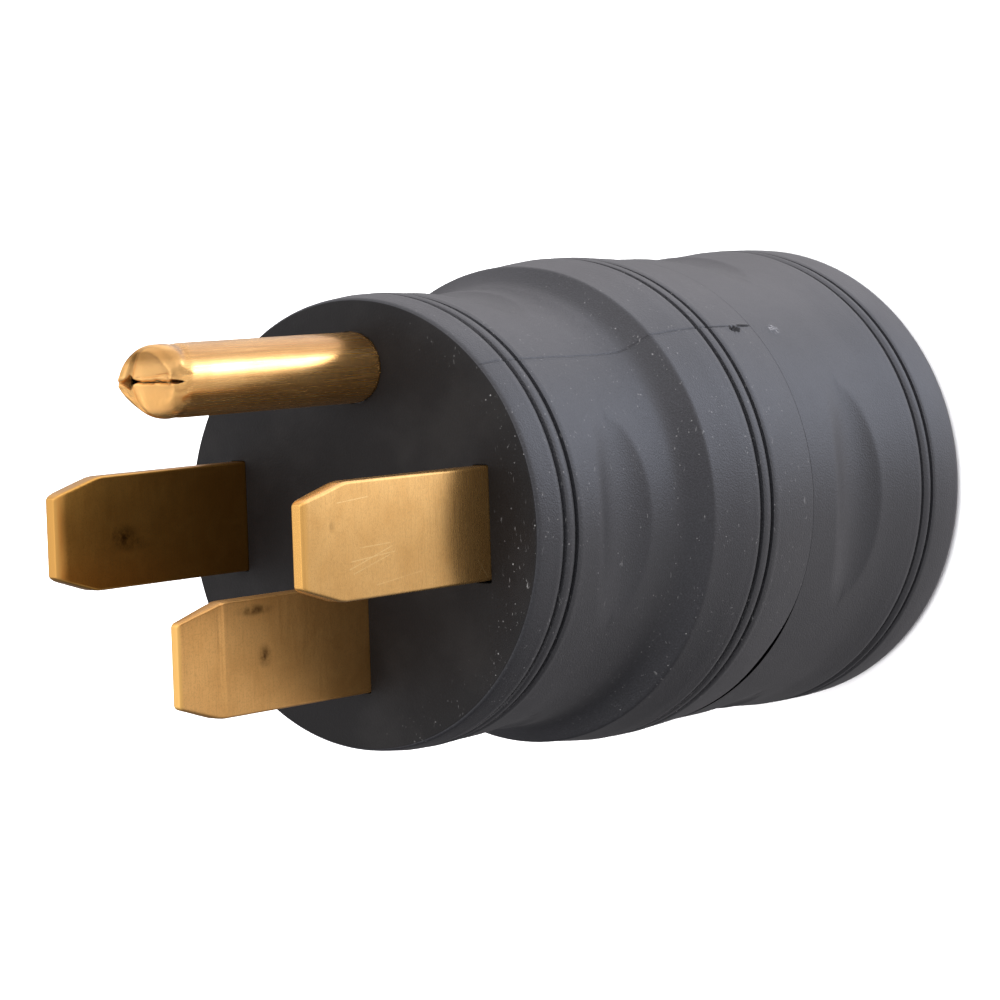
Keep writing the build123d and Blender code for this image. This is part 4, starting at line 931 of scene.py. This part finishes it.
def side_dent(ca, sa, z):
    """Three-cornered dent in the wall at the right eye, with a raised lip below it."""
    y = PIN_R * sa
    on = smooth01(ca / 0.35)
    u, v = (z - 109.35) / 0.95, (y - 0.75) / 0.95
    dent = 0.34 * np.exp(-(np.abs(u) + 0.8 * np.abs(v) + 0.2 * v)**3.0)
    e = np.hypot((z - 109.9) / 1.45, (y + 0.05) / 1.25)
    lip = 0.09 * np.exp(-((e - 1.0) / 0.17)**2) * smooth01((-y - 0.1) / 0.5)
    return on * (-dent - lip)


pv, pf = pin_mesh()
pin = make("ground_pin_skin", pv, pf, M_PIN, 50)
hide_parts("ground_pin")
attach(pin, "root")


# ------------------------------------------------------- CAD nodes that stay
def dress(node, mat, bevel=None):
    ob = nodes[node]
    ob.data.materials.clear()
    ob.data.materials.append(mat)
    for p in ob.data.polygons:
        p.material_index = 0
    if bevel:
        md = ob.modifiers.new("edge", "BEVEL")
        md.width = bevel * MM
        md.segments = 3
        md.limit_method = "ANGLE"
        md.angle_limit = math.radians(25)
        md.harden_normals = False


dress("socket_insert", M_INSERT, 0.12)
for n in ("hot_strap", "neutral_strap", "ground_strap", "blade_rivets", "contact_rivets", "hot_contact",
          "neutral_contact", "ground_contact"):
    dress(n, M_INNER)
for n in ("hot_contact_spring", "neutral_contact_spring", "ground_contact_spring"):
    dress(n, M_SPRING)
for n in ("clamp_screws", "cover_screws", "housing_screws"):
    dress(n, M_SCREW)
for n in ("blade_carrier", "blade_clamp_plate", "contact_carrier", "contact_cover"):
    dress(n, M_CARRIER)
dress("strap_barrier", M_BARRIER)

# -------------------------------------------------------------- floor, light
bpy.ops.mesh.primitive_plane_add(size=6.0, location=(0, 0, 0))
floor = bpy.context.active_object
floor.name = "floor"
fm, fnt, fb = mat_new("pale floor")
fb.inputs["Base Color"].default_value = (0.86, 0.86, 0.86, 1)
fb.inputs["Roughness"].default_value = 0.9
fb.inputs["Specular IOR Level"].default_value = 0.1
floor.data.materials.append(fm)

floor.visible_diffuse = False
floor.visible_glossy = False
floor.visible_transmission = False
floor.visible_shadow = False

# the studio round the object: a soft wall of light, a wide window-like patch
# to the upper right, dimmer toward the lower left
world = bpy.context.scene.world or bpy.data.worlds.new("World")
bpy.context.scene.world = world
world.use_nodes = True
wt = world.node_tree
wg = G(wt)
wdir = wt.nodes.new("ShaderNodeTexCoord").outputs["Generated"]
wn = wg.n("ShaderNodeVectorMath", operation="NORMALIZE")
wg.link(wdir, wn.inputs[0])
wx, wy, wz = wg.sep(wn.outputs["Vector"])


def toward(direction, near, far, gain):
    d = wg.n("ShaderNodeVectorMath", operation="DOT_PRODUCT")
    wg.link(wn.outputs["Vector"], d.inputs[0])
    d.inputs[1].default_value = Vector(direction).normalized()
    return wg.rng(d.outputs["Value"], near, far, 0.0, gain)


patch = toward((0.42, 0.70, -0.58), 0.60, 1.0, 0.67)
core = toward((0.52, 0.34, -0.78), 0.90, 1.0, 1.1)
behind = toward((-0.46, 0.64, -0.62), 0.80, 0.98, 0.44)
wide = wg.math("MULTIPLY", wg.rng(wx, -0.55, 0.05, 0.22, 0.76), wg.rng(wz, -0.25, 0.25, 1.0, 0.62))
wide = wg.math("MULTIPLY", wide, wg.rng(wy, -0.80, -0.15, 0.66, 1.0))
low = wg.math("MAXIMUM", wg.rng(wy, -0.95, -0.30, 0.0, 1.0), wg.rng(wx, 0.15, 0.65))
wide = wg.math("MULTIPLY", wide, wg.rng(low, 0.0, 1.0, 0.25, 1.0))
over = wg.math("MULTIPLY", wg.rng(wy, 0.0, 0.8), 0.4)
sky = wg.math("MULTIPLY", wg.rng(wz, -0.2, 0.5, 0.0, 0.72), wg.rng(wx, -0.1, 0.6, 1.0, 0.25))
total = wg.math("ADD", wg.math("ADD", wide, over), wg.math("ADD", sky, patch))
total = wg.math("ADD", total, wg.math("ADD", core, behind))
tint = wg.mix(wg.rng(wg.math("ADD", patch, core), 0.0, 1.3), (1.0, 0.965, 1.01), (0.86, 0.90, 1.05))
bg = wt.nodes["Background"]
wg.link(tint, bg.inputs["Color"])
wg.link(total, bg.inputs["Strength"])
bpy.context.scene.view_settings.view_transform = "Standard"


def area(name, at, to, size, power, colour=(1, 1, 1), mirrored=True):
    """Soft square light; one that isn't mirrored lights the floor but leaves no glare on the object."""
    li = bpy.data.lights.new(name, "AREA")
    li.energy = power
    li.color = colour
    li.size = size
    ob = bpy.data.objects.new(name, li)
    bpy.context.scene.collection.objects.link(ob)
    ob.location = at
    ob.rotation_euler = (Vector(to) - Vector(at)).to_track_quat("-Z", "Y").to_euler()
    ob.visible_glossy = mirrored
    return ob


area("key", (0.35, 0.45, 0.9), (-0.04, 0.0, 0.0), 0.7, 14.0, (0.97, 0.98, 1.0), mirrored=False)
area("top", (-0.35, -0.2, 0.9), (-0.05, -0.03, 0), 0.9, 14.0, mirrored=False)
# a narrow lamp that only the round pin reflects
glint = area("glint", (0.416, 0.289, -0.529), (0.0, 0.017, 0.095), 0.22, 1.3, (1.0, 0.98, 1.0))
only = bpy.data.collections.new("round pin")
bpy.context.scene.collection.children.link(only)
only.objects.link(pin)
glint.light_linking.receiver_collection = only

# -------------------------------------------------------------------- camera
az, el, roll = math.radians(38.28), math.radians(4.08), math.radians(-1.85)
DIST, FPX, TX, TY = 400.0, 3728.0, 15.23, 2.72
c = np.array([math.sin(az) * math.cos(el), math.sin(el), math.cos(az) * math.cos(el)])
up = np.array([0, 1.0, 0])
r = np.cross(up, c)
r /= np.linalg.norm(r)
u = np.cross(c, r)
r, u = math.cos(roll) * r + math.sin(roll) * u, -math.sin(roll) * r + math.cos(roll) * u
pos = DIST * c + TX * r + TY * u + np.array([0, 0, H])
cam_data = bpy.data.cameras.new("camera")
cam = bpy.data.objects.new("camera", cam_data)
bpy.context.scene.collection.objects.link(cam)
cam_data.sensor_width = 36.0
cam_data.sensor_fit = "HORIZONTAL"
cam_data.lens = FPX / 1000.0 * 36.0
cam_data.clip_start = 0.01
m4 = Matrix.Identity(4)
for i in range(3):
    m4[i][0], m4[i][1], m4[i][2], m4[i][3] = r[i], u[i], c[i], pos[i] * MM
cam.matrix_world = m4
bpy.context.scene.camera = cam
